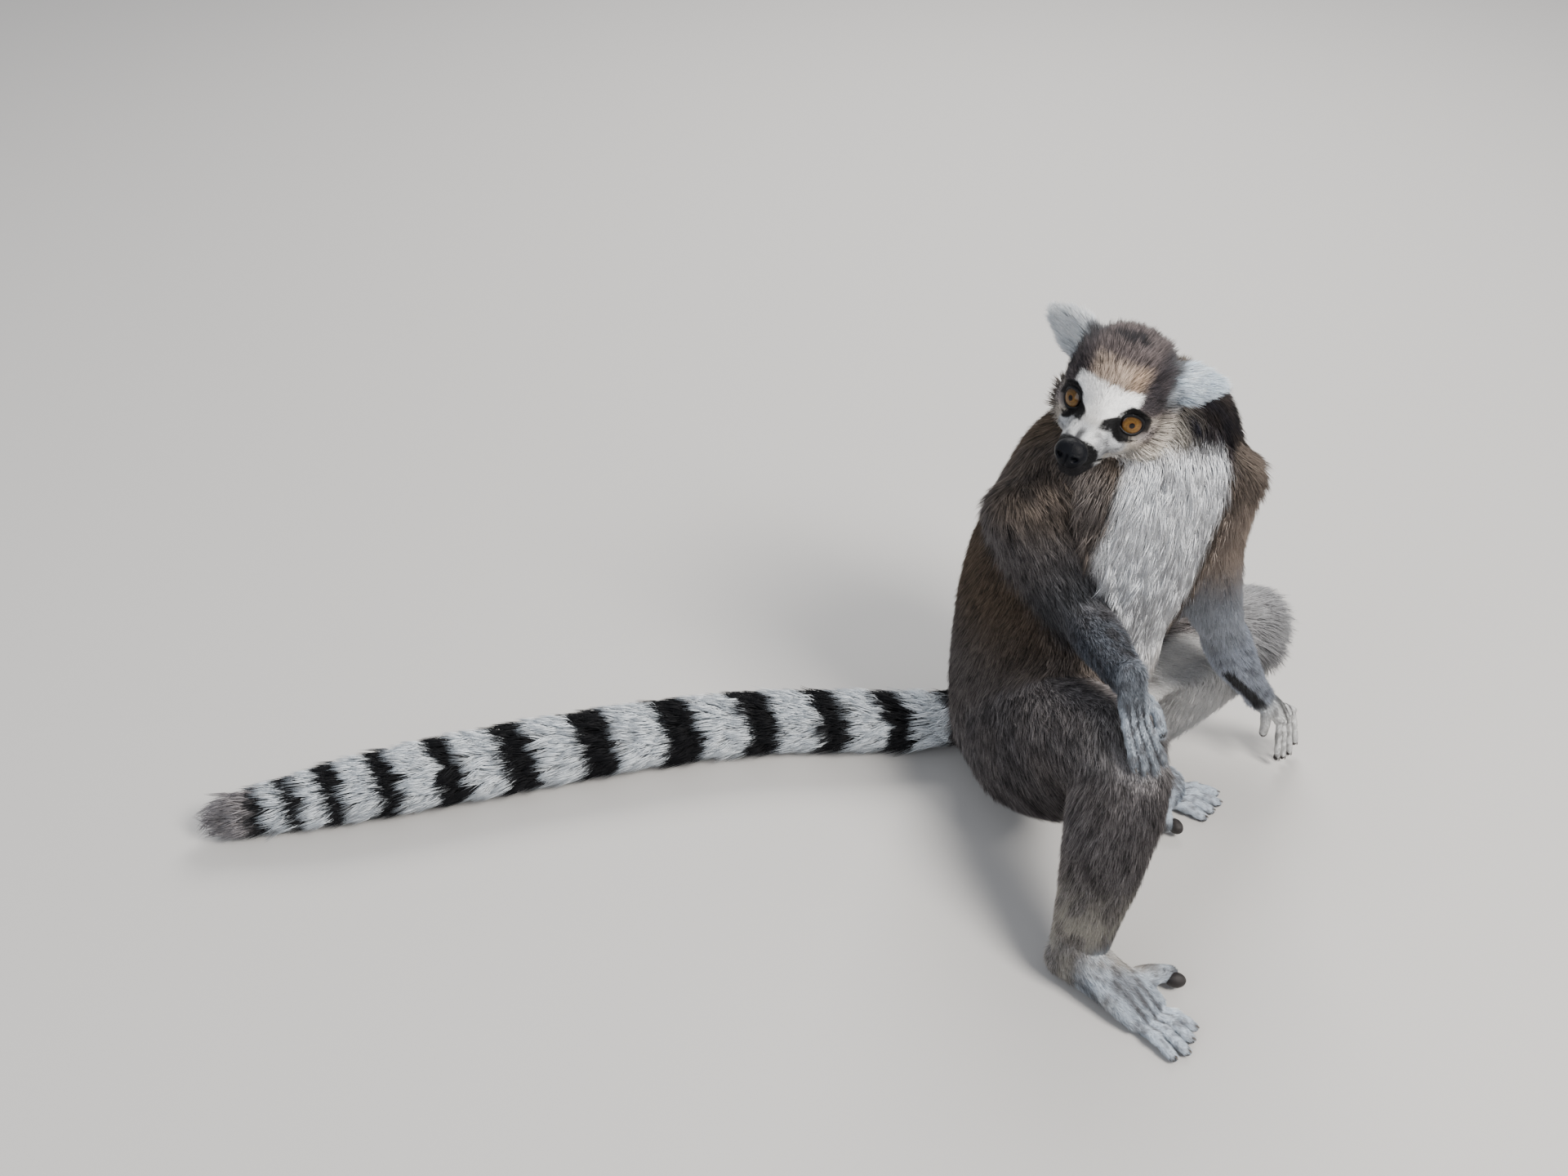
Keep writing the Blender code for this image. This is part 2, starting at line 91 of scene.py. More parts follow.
HIP_R, KNEE_R = at(-12, -16, 56), at(40, -118, 138)
ANKLE_R, TOES_R = at(10, -178, 28), at(56, -221, 10)
SHOULDER_R, ELBOW_R, WRIST_R = at(-12, 4, 236), at(19, -36, 178), at(36, -117, 186)
HIP_L, KNEE_L = at(40, 45, 60), at(168, 62, 94)
ANKLE_L, TOES_L = at(60, -2, 27), at(109, -21, 9)
SHOULDER_L, ELBOW_L, WRIST_L = at(106, 22, 246), at(116, -2, 148), at(166, 22, 58)
TAIL = [at(-30, 42, 28), at(-80, 40, 23.5), at(-200, 36, 24),
        at(-330, 7, 24.5), at(-450, -28, 23.5), at(-545, -54, 18),
        at(-564, -59, 17)]
SPINE = [at(10, 10, 10), at(12, 15, 75), at(26, 26, 160), at(57, 31, 247),
         at(66, 34, 270)]

# ---- camera
FOCAL_PIXELS, IMAGE_WIDTH, SENSOR, PITCH = 2086.0, 1920.0, 36.0, math.radians(36.1)
camera = linked("camera", bpy.data.cameras.new("camera"))
camera.data.sensor_width = SENSOR
camera.data.lens = FOCAL_PIXELS / IMAGE_WIDTH * SENSOR
camera.location = at(-170, -900, 827)
camera.rotation_euler = (math.pi / 2 - PITCH, 0.0, 0.0)
bpy.context.scene.camera = camera


# ---- hands and feet
Hand = namedtuple("Hand", "wrist reach across knuckles digits")
Foot = namedtuple("Foot", "knee ankle heel reach across aside digits")


def digit_lines(root, reach, across, spread, long, pitch, drop, lift, longest=0.08):
    """Start, middle and end of each of four digits side by side, longest at a place across them."""
    out = []
    for k in range(4):
        place = (k - 1.5) / 3
        heading = unit(reach + across * (place * spread))
        reached = long * (1.0 - 0.35 * abs(place - longest))
        start = root + across * (place * pitch * 3)
        middle = start + heading * reached * 0.5 + UP * lift
        out.append((start, middle, start + heading * reached - UP * drop))
    return out


def hand_at(wrist, reach, across, palm, bent, knuckle_line, finger_sizes, thumb):
    """A hand: its palm's reach, the line across it, and the fingers' bend; the last digit is the thumb."""
    reach = unit(reach)
    knuckles = wrist + reach * palm
    fingers = digit_lines(knuckles, unit(bent), knuckle_line, *finger_sizes)
    thumb = tuple(wrist + reach * along + across * aside + UP * up for along, aside, up in thumb)
    return Hand(wrist, reach, across, knuckles, fingers + [thumb])


def foot_at(knee, ankle, toes, inner):
    """A foot flat on the ground; the last digit is the great toe, on the side that inner, 1 or -1, gives."""
    reach = unit((toes - ankle) * (1, 1, 0))
    across = np.cross(UP, reach)
    heel = ankle - reach * 0.01 - UP * (ankle[2] - 0.012)
    knuckles = toes - reach * 0.004 - UP * 0.0042
    lines = digit_lines(knuckles, reach, across, 0.34, 0.0275, 0.0066, 0.0012, 0.0016, -0.17 * inner)
    root = heel + reach * 0.046 + across * (0.009 * inner) - UP * 0.003
    aside = unit(across * inner + reach * 0.35)
    great = (root, root + aside * 0.017 + UP * 0.002, root + aside * 0.028 + reach * 0.003)
    return Foot(knee, ankle, heel, reach, across, aside, lines + [great])


HAND_R = hand_at(WRIST_R, (0.06, -0.7, -0.6), SHOULDERS_LEFT, 0.024, (0.34, -0.34, -0.87), SHOULDERS_LEFT,
                 (0.2, 0.031, 0.0045, 0.001, 0.0006),
                 ((0.01, 0.007, 0), (0.02, 0.014, 0), (0.029, 0.0165, -0.004)))
HAND_L = hand_at(WRIST_L, (0.74, 0.1, -0.66), unit((0.3, 0.95, 0.0)), 0.028, (0.16, -0.06, -0.98),
                 unit((0.7, 0.7, 0.1)), (0.22, 0.035, 0.0055, 0.0, 0.0),
                 ((0.006, -0.006, 0), (0.008, -0.009, -0.009), (0.008, -0.009, -0.018)))
FOOT_R, FOOT_L = foot_at(KNEE_R, ANKLE_R, TOES_R, 1), foot_at(KNEE_L, ANKLE_L, TOES_L, -1)

# ---- regions of the coat
BODY_SHELL, ARM_SHELL, BOTH = 1, 2, 3


# Each coat: a tuft's length, the coat's depth over the skin and a tuft's width in millimetres, a tuft's lift
# in degrees, and the number of tufts to a square millimetre.
COATS = {
    "rump": (12, 5.4, 0.62, 20, 0.92), "back": (12, 5.6, 0.62, 20, 0.92), "nape": (12, 5.6, 0.62, 22, 0.92),
    "neck": (13, 6.0, 0.64, 24, 1.0), "skull": (10, 3.2, 0.44, 30, 3.6), "muzzle": (2.2, 0.7, 0.32, 16, 5.5),
    "ear": (8.5, 1.4, 0.38, 25, 3.0), "thigh": (12, 6.0, 0.6, 17, 0.95), "shank_r": (10, 4.5, 0.54, 18, 1.2),
    "shank_l": (12, 4.5, 0.56, 18, 1.2), "above_ankle": (6.5, 2.6, 0.46, 18, 1.9),
    "foot": (5.0, 1.0, 0.4, 19, 2.6), "upper_arm": (13, 5.5, 0.6, 18, 0.9),
    "above_elbow": (9.5, 4.2, 0.52, 18, 1.25), "forearm_r": (8, 2.4, 0.46, 22, 1.8),
    "forearm_l": (8, 2.4, 0.46, 23, 1.8), "hand": (3.2, 0.8, 0.34, 14, 2.8),
    "finger": (2.4, 0.5, 0.3, 12, 3.0), "toe": (3.0, 0.6, 0.34, 14, 2.8), "tail": (18, 7.5, 0.8, 24, 0.5),
}
FIRM = 0.02
REGIONS = []
Region = namedtuple("Region", "name start end radii length depth width lift density "
                              "piece shell droop flow soft")


def region(name, start, end, radii, coat, piece, shell=BODY_SHELL, droop=0.0, flow=None, soft=1.0):
    """Adds a length of the body: its core line, the flesh's radii there in millimetres, and its coat."""
    flow = unit(end - start if flow is None else flow)
    REGIONS.append(Region(name, start, end, radii, *COATS[coat], piece, shell, droop, flow, soft))


SPINE_RADII = (47, 59, 63, 66, 50)
for k, (coat, droop) in enumerate((("rump", 0.0), ("back", 0.0), ("back", 0.15), ("nape", 0.15))):
    radii = (SPINE_RADII[k + 1], SPINE_RADII[k])
    region(f"spine_{k + 1}", SPINE[k + 1], SPINE[k], radii, coat, "coat_back", BOTH, droop)
region("neck", in_head(-34, 0, -2), SPINE[4], (32, 48), "neck", "coat_head", BOTH, 0.1)
region("skull", in_head(-8, 0, 10), in_head(-34, 0, 8), (26, 30), "skull", "coat_head", soft=0.12)
region("muzzle", in_head(31, 0, -21), in_head(4, 0, -14), (10, 15), "muzzle", "coat_head", soft=FIRM)
for name, sign in (("ear_l", 1), ("ear_r", -1)):
    root, end = in_head(-28, 32 * sign, 25), in_head(-31, 54 * sign, 34)
    region(name, root, end, (12, 8), "ear", "coat_head", soft=FIRM)
LOW_SHANK_R = KNEE_R + (ANKLE_R - KNEE_R) * 0.7
region("thigh_r", HIP_R, KNEE_R, (43, 27), "thigh", "coat_leg_r", flow=unit(KNEE_R - HIP_R) - UP * 0.85)
region("shank_r", KNEE_R, LOW_SHANK_R, (27, 18.5), "shank_r", "coat_leg_r")
region("shank_r_low", LOW_SHANK_R, ANKLE_R, (18.5, 16), "above_ankle", "coat_leg_r")
region("foot_r", ANKLE_R, TOES_R, (13, 12), "foot", "coat_leg_r", soft=FIRM)
region("thigh_l", HIP_L, KNEE_L, (38, 26), "thigh", "coat_leg_l", flow=unit(KNEE_L - HIP_L) - UP * 0.5)
region("shank_l", KNEE_L, ANKLE_L, (23, 12), "shank_l", "coat_leg_l",
       flow=unit(ANKLE_L - KNEE_L) - UP * 0.35)
region("foot_l", ANKLE_L, TOES_L, (13, 12), "foot", "coat_leg_l", soft=FIRM)
ON_ARM = {"piece": "coat_arms", "shell": ARM_SHELL}
for side, shoulder, elbow, hand, top, end in (("r", SHOULDER_R, ELBOW_R, HAND_R, 36, 9.5),
                                              ("l", SHOULDER_L, ELBOW_L, HAND_L, 34, 8)):
    low = shoulder + (elbow - shoulder) * 0.62
    region(f"upper_arm_{side}", shoulder, low, (top, 24), "upper_arm", **ON_ARM)
    region(f"upper_arm_{side}_low", low, elbow, (24, 18), "above_elbow", **ON_ARM)
    region(f"forearm_{side}", elbow, hand.wrist, (16, end), f"forearm_{side}", soft=0.4, **ON_ARM)
    region(f"hand_{side}", hand.wrist, hand.knuckles, (9, 9), "hand", soft=FIRM, **ON_ARM)
for name, limb, coat, radius, where in (("hand_r", HAND_R, "finger", 2.6, ON_ARM),
                                        ("hand_l", HAND_L, "finger", 2.6, ON_ARM),
                                        ("foot_r", FOOT_R, "toe", 3.4, {"piece": "coat_leg_r"}),
                                        ("foot_l", FOOT_L, "toe", 3.4, {"piece": "coat_leg_l"})):
    for k, (start, _, end) in enumerate(limb.digits):
        region(f"{name}_{k}", start, end, (radius, radius), coat, soft=FIRM, **where)
for k, (start, end) in enumerate(zip(TAIL, TAIL[1:])):
    region(f"tail_{k}", start, end, (17, 16), "tail", "coat_tail", droop=0.05)


def of_regions(key):
    return np.array([getattr(region, key) for region in REGIONS])


STARTS, ENDS, SHELLS, RADII = *map(of_regions, ("start", "end", "shell")), of_regions("radii") / 1000.0
SOFTNESS, CHUNK = 0.003, 50000


def region_weights(points, shell=BOTH):
    """Share of each region at each point."""
    d = ENDS - STARTS
    out = np.empty((len(points), len(REGIONS)))
    for first in range(0, len(points), CHUNK):
        rel = points[first:first + CHUNK, None, :] - STARTS[None]
        t = np.clip((rel * d).sum(2) / (d * d).sum(1), 0, 1)
        near = np.linalg.norm(rel - t[..., None] * d, axis=2) - (RADII[:, 0] * (1 - t) + RADII[:, 1] * t)
        near[:, (SHELLS & shell) == 0] = 1.0
        w = np.exp(-(near - near.min(1, keepdims=True)) / SOFTNESS)
        out[first:first + CHUNK] = w / w.sum(1, keepdims=True)
    return out


def share(w, *prefixes):
    return w[:, [i for i, region in enumerate(REGIONS) if region.name.startswith(prefixes)]].sum(1)


def mixed(w, key):
    return w @ of_regions(key)


def step(a, b, x):
    t = np.clip((x - a) / (b - a), 0, 1)
    return t * t * (3 - 2 * t)


def line_distance(points, start, end):
    d = end - start
    t = np.clip((points - start) @ d / (d @ d), 0, 1)
    return np.linalg.norm(points - start - t[:, None] * d, axis=1)


def noise(points, scale, seed):
    """Smooth value noise from a few turned sine waves, between 0 and 1."""
    rng = np.random.default_rng(100 + seed)
    total = np.zeros(len(points))
    for _ in range(6):
        k = unit(rng.normal(size=3)) * rng.uniform(0.7, 1.6)
        warp = np.sin(points @ unit(rng.normal(size=3)) / scale * 0.9 + rng.uniform(0, 6.3))
        total += np.sin(points @ k / scale + rng.uniform(0, 6.3) + 1.3 * warp)
    return np.clip(0.5 + total / 7.0, 0, 1)


# ---- markings
BROWN_GREY = np.array((0.158, 0.118, 0.086))
GREY = np.array((0.205, 0.191, 0.196))
DARK_GREY = np.array((0.04, 0.036, 0.038))
CHARCOAL = np.array((0.016, 0.015, 0.018))
BLACK = np.array((0.004, 0.004, 0.005))
WHITE = np.array((0.82, 0.81, 0.79))
SNOW = np.array((0.94, 0.945, 0.95))
CREAM = np.array((0.56, 0.48, 0.38))
PALE_GREY = np.array((0.42, 0.43, 0.45))
BLUE_GREY = np.array((0.3, 0.325, 0.37))
PAW = np.array((0.5, 0.565, 0.65))
BEIGE = np.array((0.33, 0.255, 0.19))

# Pale rings of the tail, with gaps widest a little before half way and closest at the tip.
RINGS, FIRST_RING, ROOT_GAP, WIDEST_GAP, TIP_GAP = 11, 0.0735, 0.045, 0.06, 0.024
RING_GAPS = np.interp(np.arange(RINGS - 1), (0, 3.5, RINGS - 2), (ROOT_GAP, WIDEST_GAP, TIP_GAP))
RING_CENTRES = -FIRST_RING - np.concatenate(([0.0], np.cumsum(RING_GAPS)))
RING_HALVES = 0.27 * np.interp(np.arange(RINGS) - 0.5, np.arange(RINGS - 1), RING_GAPS)
RING_SLANT = 0.45


def over(base, *layers):
    """The base with each layer, a colour and its amount at each point, laid over it in turn."""
    for colour, amount in layers:
        base = base + (colour - base) * np.asarray(amount)[:, None]
    return base


def painted(points, colour, *layers):
    """A colour at every point, with layers over it."""
    return over(np.tile(colour, (len(points), 1)), *layers)


def blob(*axes):
    """One at a place, fading round it: each axis gives a coordinate, the place along it and the reach."""
    return np.exp(-sum(((x - place) / reach) ** 2 for x, place, reach in axes))


def head_marks(points):
    """Colours of the head, from its own coordinates: f forward, l left, u up, a to either side."""
    f, l, u = to_head(points).T
    a = np.abs(l)
    blotch, speck = noise(points, 0.005, 3), noise(points, 0.0012, 4)
    middle = step(21, 12, np.abs(l - 3)) * step(36, 30, u + 0.25 * blotch) * step(16, 22, u)
    crown = np.hypot((f + 12.5) / 5.5, (l + 1.5) / 15.0) + 0.6 * (blotch - 0.5)
    brow = 20.0 + 1.5 * (blotch - 0.5)
    side = step(0, 8, f) * step(2, -4, u)
    bridge = step(4.5, 2.0, np.abs(a - 6.5 - 0.15 * np.maximum(0, 20 - f)))
    c = painted(
        points, GREY * (0.52, 0.46, 0.45),
        (BEIGE * (1.25, 1.3, 1.42), middle * (0.7 + 0.3 * speck)),
        (BEIGE * (0.85, 0.72, 0.62), middle * step(6, 15, l) * 0.55),
        (DARK_GREY * (0.62, 0.6, 0.7), step(15, 23, a) * step(7, 15, u) * (0.62 + 0.38 * speck)),
        (CHARCOAL, step(1.2, 0.7, crown) * step(27, 31, u) * 0.97),
        (CREAM * (1.12, 1.18, 1.25), step(10, 2, u + 0.12 * np.maximum(-f - 15, 0))),
        (BEIGE * 0.9, blob((f, -6, 9), (u, -17, 5)) * step(8, 13, a) * 0.55),
        (GREY * (1.05, 1.0, 1.02), blob((a, 31, 12), (u, -3.5, 9.0)) * 0.92),
        (BEIGE * 0.7, blob((f, -36, 7), (a, 33, 7), (u, 4, 5)) * 0.7),
        (WHITE, step(-9, -21, u) * step(6, -4, f) * 0.85),
        (SNOW, step(brow + 1.2, brow - 1.4, u) * step(22.5, 18.5, a) * step(-22, -14, f) * step(-4, 2, u)),
        (PALE_GREY * 1.25, side),
        (SNOW * 0.9, side * bridge * 0.6),
        (PALE_GREY * 0.45, side * step(0.5, 0.75, speck) * step(5, 9, a) * 0.8))
    # dark eye patches, each with a thin point towards the bridge of the nose
    for sign in (1, -1):
        dl, du = (l - sign * 20.3) * sign, u - 0.6
        ring = np.hypot(dl / np.where(dl > 0, 9.2, 8.9), du / np.where(du > 0, 11.3, 10.4))
        ring += 0.07 * (speck - 0.5)
        along = np.clip(-dl / 15.5, 0, 1)
        streak = np.abs(u - 0.5 + 2.0 * along) / (6.6 - 4.8 * along)
        c = over(c, (BLACK, step(1.08, 0.93, ring) * step(-26, -18, f)),
                 (BLACK, step(1.2, 0.8, streak) * step(16.0, 13.5, -dl) * step(4, 6, -dl)))
    # black muzzle tip, lips and chin
    tip = f - 0.75 * (u + 8) + 0.3 * a + 1.2 * (speck - 0.5)
    lip = -24.5 - 0.1 * (20 - f)
    return over(c, (BLACK, step(29.8, 32.0, tip) * step(4, 10, f)),
                (CHARCOAL, step(3.2, 1.0, np.abs(l + 0.8)) * step(19, 26, f) * step(-30, -10, u) * 0.85),
                (BLACK, step(1.5, 0.5, np.abs(u - lip)) * step(-6, 2, f)),
                (CHARCOAL, step(lip + 0.5, lip - 1.0, u) * step(4, 14, f) * 0.9))


def from_spine(points):
    """How far each point lies ahead of the trunk's axis at its height, and to the left of it."""
    z = points[:, 2]
    heights = np.array([p[2] for p in SPINE])
    axis = np.stack([np.interp(z, heights, [p[i] for p in SPINE]) for i in (0, 1)], 1)
    turn = step(0.03, 0.26, z)[:, None]
    left = unit(HIPS_LEFT * (1 - turn) + SHOULDERS_LEFT * turn)
    rel = points[:, :2] - axis
    return (rel * np.cross(left, UP)[:, :2]).sum(1), (rel * left[:, :2]).sum(1)


def painted_shade_between_digits(points, limb):
    """One in the narrow gaps between the four digits of a limb that lie side by side, where shade is
    painted.
    """
    reach = np.sort([line_distance(points, start, end) for start, _, end in limb.digits[:4]], axis=0)
    return step(0.0017, 0.0003, reach[1] - reach[0])


def away(points, place):
    return np.linalg.norm(points - place, axis=1)


def near_point(points, place, radius):
    """One at a place, falling to nothing at the radius."""
    return step(radius, radius * 0.45, away(points, place))


def marks(points, w):
    """The coat's colour at each point of the body, from the share of each region there."""
    ahead, aside = from_spine(points)
    z = points[:, 2]
    mottle = noise(points, 0.01, 1)
    fine = noise(points, 0.003, 2)

    def near(place, radius):
        return near_point(points, place, radius)

    middle = -0.01 * step(0.12, 0.2, z) + 0.004 * step(0.17, 0.13, z)
    half = 0.021 + 0.017 * step(0.14, 0.21, z) + 0.006 * (mottle - 0.5)
    edge = np.abs(aside - middle) - half
    under_chin = step(0.286, 0.27, z + 0.25 * np.maximum(aside, 0))
    bib = step(0.004, -0.004, edge) * step(0.008, 0.024, ahead) * under_chin
    trunk = painted(
        points, BROWN_GREY * 0.85,
        (GREY * 0.85, step(0.165, 0.095, z) * 0.85),
        (DARK_GREY, 0.3 * mottle),
        (GREY * 0.6, near(at(-6, -30, 255), 0.055) * 0.6),
        (BEIGE * (1.25, 1.32, 1.55), near(at(138, 32, 240), 0.05) * 0.85),
        (CREAM * (1.25, 1.35, 1.5), near(at(64, -12, 286), 0.034)),
        (CHARCOAL * (1.0, 1.05, 1.35), near(at(104, 8, 283), 0.056) * (0.65 + 0.35 * fine)),
        (WHITE * (0.94, 0.97, 1.03), bib),
        (GREY * 0.9, bib * step(0.62, 0.82, fine) * 0.3),
        (CREAM * 1.2, bib * step(0.15, 0.09, z) * 0.5))

    left_leg = share(w, "thigh_l", "shank_l")
    under_thigh = line_distance(points, at(112, 20, 85), at(135, 0, 52))
    inner = left_leg * np.maximum(step(0.085, 0.058, z), step(0.03, 0.02, under_thigh))
    above_heel = share(w, "shank_r") * step(0.085, 0.045, z)
    leg = painted(
        points, GREY,
        (BROWN_GREY, 0.25 * mottle),
        (DARK_GREY, 0.35 * near(HIP_R + (-0.02, -0.04, 0.02), 0.075)),
        (DARK_GREY, 0.48 * step(0.5, 0.85, fine)),
        (PALE_GREY * 0.85, left_leg * near(KNEE_L, 0.06) * 0.75),
        (PALE_GREY * 1.5, near(KNEE_L + (0.032, 0.0, -0.008), 0.034) * 0.65),
        (PALE_GREY * 0.7, share(w, "thigh_r", "shank_r") * near(KNEE_R, 0.04) * 0.35),
        (SNOW * (0.98, 0.97, 0.96), inner * 0.95),
        # painted shade: a dark bluish patch where the belly meets the left thigh
        (BLUE_GREY * 0.3, near(at(90, 4, 102), 0.032) * left_leg),
        (CREAM * (0.82, 0.9, 1.0), above_heel * (0.35 + 0.6 * step(0.3, 0.7, fine))))

    # the upper arms pass from the back's brown to grey; the left one is painted paler, as sunlight on it,
    # with less dark speckle
    left_arm_painted_sunlit = share(w, "upper_arm_l", "forearm_l", "hand_l")
    elbow = near(ELBOW_R, 0.05) * (1 - left_arm_painted_sunlit)
    arm = painted(
        points, GREY * 0.85,
        (BROWN_GREY, step(0.215, 0.25, z) * 0.7),
        (BEIGE * (1.45, 1.5, 1.68), left_arm_painted_sunlit * step(0.16, 0.2, z) * step(0.25, 0.225, z) * 0.85),
        (BLUE_GREY * 1.7, left_arm_painted_sunlit * step(0.205, 0.15, z) * 0.9),
        (DARK_GREY, 0.5 * step(0.45, 0.8, fine) * (1 - 0.6 * left_arm_painted_sunlit)),
        (BLUE_GREY * 0.36, elbow * 0.75))
    gland = line_distance(points, at(128, -11, 104), at(163, 11, 58))
    # painted light and shade: the left forearm is painted far paler than the right, as sunlight on the left
    # and shade on the right
    forearm = over(
        BLUE_GREY * (0.99, 1.01, 1.06) * (0.38 + 1.25 * left_arm_painted_sunlit)[:, None],
        (GREY * 0.62, elbow * 0.55),
        (DARK_GREY, (0.65 - 0.2 * left_arm_painted_sunlit) * step(0.5, 0.85, noise(points, 0.0022, 6))),
        (CHARCOAL, step(0.0064, 0.004, gland) * 0.95))

    from_toes = np.minimum(away(points, TOES_R), away(points, TOES_L))
    on_toes = share(w, "foot") * step(0.045, 0.02, from_toes)
    back_of_foot = share(w, "foot") * step(0.02, 0.042, from_toes)
    paw = painted(
        points, PAW,
        # painted shade darkens the right hand and painted sunlight lightens the left, over one paw colour
        (PAW * 0.78, share(w, "hand_r")),
        (PAW * (1.7, 1.52, 1.32), share(w, "hand_l")),
        (GREY * 0.6, 0.55 * step(0.5, 0.85, noise(points, 0.0016, 7))),
        # painted shade in the gaps between the fingers and between the toes
        (CHARCOAL, share(w, "hand") * np.maximum(painted_shade_between_digits(points, HAND_R), painted_shade_between_digits(points, HAND_L)) * 0.85),
        (GREY * 0.5, on_toes * 0.7 * np.maximum(painted_shade_between_digits(points, FOOT_R), painted_shade_between_digits(points, FOOT_L))),
        (CREAM * (0.8, 0.84, 0.9), back_of_foot * step(0.25, 0.75, mottle) * 0.75),
        (DARK_GREY, back_of_foot * step(0.45, 0.75, fine) * 0.65))

    ear = painted(
        points, SNOW * (0.9, 0.95, 1.0),
        # painted shade: the left ear is darker and bluer than the right, as it stands in shade
        (SNOW * (0.46, 0.56, 0.68), share(w, "ear_l") * (0.55 + 0.35 * fine)),
        (GREY * 0.8, share(w, "ear") * step(0.55, 0.85, noise(points, 0.002, 8)) * 0.3),
        (DARK_GREY * 1.2, step(34, 29, np.abs(to_head(points)[:, 1]) + 5 * (fine - 0.5)) * 0.85))

    dist = points[:, 0] - MIDDLE[0]
    zigzag = 0.0035 * (noise(points, 0.0035, 5) - 0.5)
    core = np.interp(-points[:, 0], [-p[0] for p in TAIL], [p[1] for p in TAIL])
    slanted = dist + RING_SLANT * (points[:, 1] - core)
    tail = painted(points, BLACK * 1.3)
    for centre, half in zip(RING_CENTRES, RING_HALVES):
        ring = step(half + 0.002, half - 0.002, np.abs(slanted - centre + zigzag))
        # the pale rings are painted dimmer and bluer than white, as shade over the tail
        tail = over(tail, (WHITE * (0.72, 0.77, 0.83), ring))
    tail = over(tail, (GREY * 1.5, step(-0.528, -0.542, dist) * (0.35 + 0.6 * fine)),
                (GREY * 0.9, step(-0.046, -0.03, dist)))

    parts = (
        (share(w, "spine", "neck"), trunk),
        (share(w, "skull", "muzzle"), head_marks(points)),
        (share(w, "ear"), ear),
        (share(w, "thigh", "shank"), leg),
        (share(w, "upper_arm"), arm),
        (share(w, "forearm"), forearm),
        (share(w, "hand", "foot"), paw),
        (share(w, "tail"), tail),
    )
    weights = np.stack([p[0] for p in parts], 1) ** 2
    weights /= weights.sum(1, keepdims=True)
    return sum(weights[:, k:k + 1] * part[1] for k, part in enumerate(parts))


# ---- mesh helpers
def arrays(mesh):
    """Vertices and triangles of a mesh as arrays."""
    mesh.calc_loop_triangles()
    v = np.empty(len(mesh.vertices) * 3)
    mesh.vertices.foreach_get("co", v)
    t = np.empty(len(mesh.loop_triangles) * 3, np.int32)
    mesh.loop_triangles.foreach_get("vertices", t)
    return v.reshape(-1, 3), t.reshape(-1, 3)


def vertex_normals(v, t):
    n = np.cross(v[t[:, 1]] - v[t[:, 0]], v[t[:, 2]] - v[t[:, 0]])
    out = np.zeros_like(v)
    for k in range(3):
        for i in range(3):
            out[:, i] += np.bincount(t[:, k], n[:, i], len(v))
    return unit(out)


def hold_above_ground(v, gap):
    v[..., 2] = np.maximum(v[..., 2], gap)


def mesh_from(v, faces_flat, sizes):
    """A mesh from vertices and a flat list of corners with each face's size."""
    mesh = bpy.data.meshes.new("form")
    mesh.vertices.add(len(v))
    mesh.vertices.foreach_set("co", np.asarray(v, np.float32).ravel())
    mesh.loops.add(len(faces_flat))
    mesh.loops.foreach_set("vertex_index", np.asarray(faces_flat, np.int32))
    mesh.polygons.add(len(sizes))
    starts = np.concatenate(([0], np.cumsum(sizes)[:-1])).astype(np.int32)
    mesh.polygons.foreach_set("loop_start", starts)
    mesh.update(calc_edges=True)
    mesh.validate()
    mesh.shade_smooth()
    return mesh


def triangles_mesh(v, t):
    return mesh_from(v, t.ravel(), np.full(len(t), 3))


def modified(v, t, kind, **settings):
    """Vertices and triangles of a form after one modifier."""
    made = linked("work", triangles_mesh(v, t))
    modifier = made.modifiers.new("work", kind)
    for key, value in settings.items():
        setattr(modifier, key, value)
    bpy.context.view_layer.update()
    shaped = bpy.data.meshes.new_from_object(made.evaluated_get(bpy.context.evaluated_depsgraph_get()))
    out = arrays(shaped)
    bpy.data.meshes.remove(shaped)
    data = made.data
    bpy.data.objects.remove(made)
    bpy.data.meshes.remove(data)
    return out


def voxel_union(v, t, voxel):
    """One closed surface round overlapping closed ones."""
    return modified(v, t, "REMESH", mode="VOXEL", voxel_size=voxel)


def edges_of(t):
    e = np.concatenate((t[:, [0, 1]], t[:, [1, 2]], t[:, [2, 0]]))
    return np.unique(np.sort(e, 1), axis=0)


def relax(x, edges, rounds, strength=0.5):
    """Averages positions, or other values at the vertices, with their neighbours'."""
    count = np.bincount(edges.ravel(), minlength=len(x))[:, None]
    for _ in range(rounds):
        total = np.zeros_like(x)
        for i in range(x.shape[1]):
            total[:, i] = (np.bincount(edges[:, 0], x[edges[:, 1], i], len(x))
                           + np.bincount(edges[:, 1], x[edges[:, 0], i], len(x)))
        x = x + (total / np.maximum(count, 1) - x) * strength
    return x


# ---- skin
SWELL = 0.0006


def joined_nodes(names):
    """The named solids, each swollen a little so that neighbours overlap."""
    out = []
    for name in names:
        v, t = arrays(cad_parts[name].data)
        matrix = np.array(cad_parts[name].matrix_world)
        v = v @ matrix[:3, :3].T + matrix[:3, 3]
        key, back = np.unique(np.round(v, 6), axis=0, return_inverse=True)
        t = back.reshape(-1)[t]
        t = t[(t[:, 0] != t[:, 1]) & (t[:, 1] != t[:, 2]) & (t[:, 2] != t[:, 0])]
        out.append((key + vertex_normals(key, t) * SWELL, t))
    return out


def joined(parts):
    counts = np.concatenate(([0], np.cumsum([len(v) for v, _ in parts])[:-1]))
    return np.concatenate([v for v, _ in parts]), np.concatenate([t + n for (_, t), n in zip(parts, counts)])


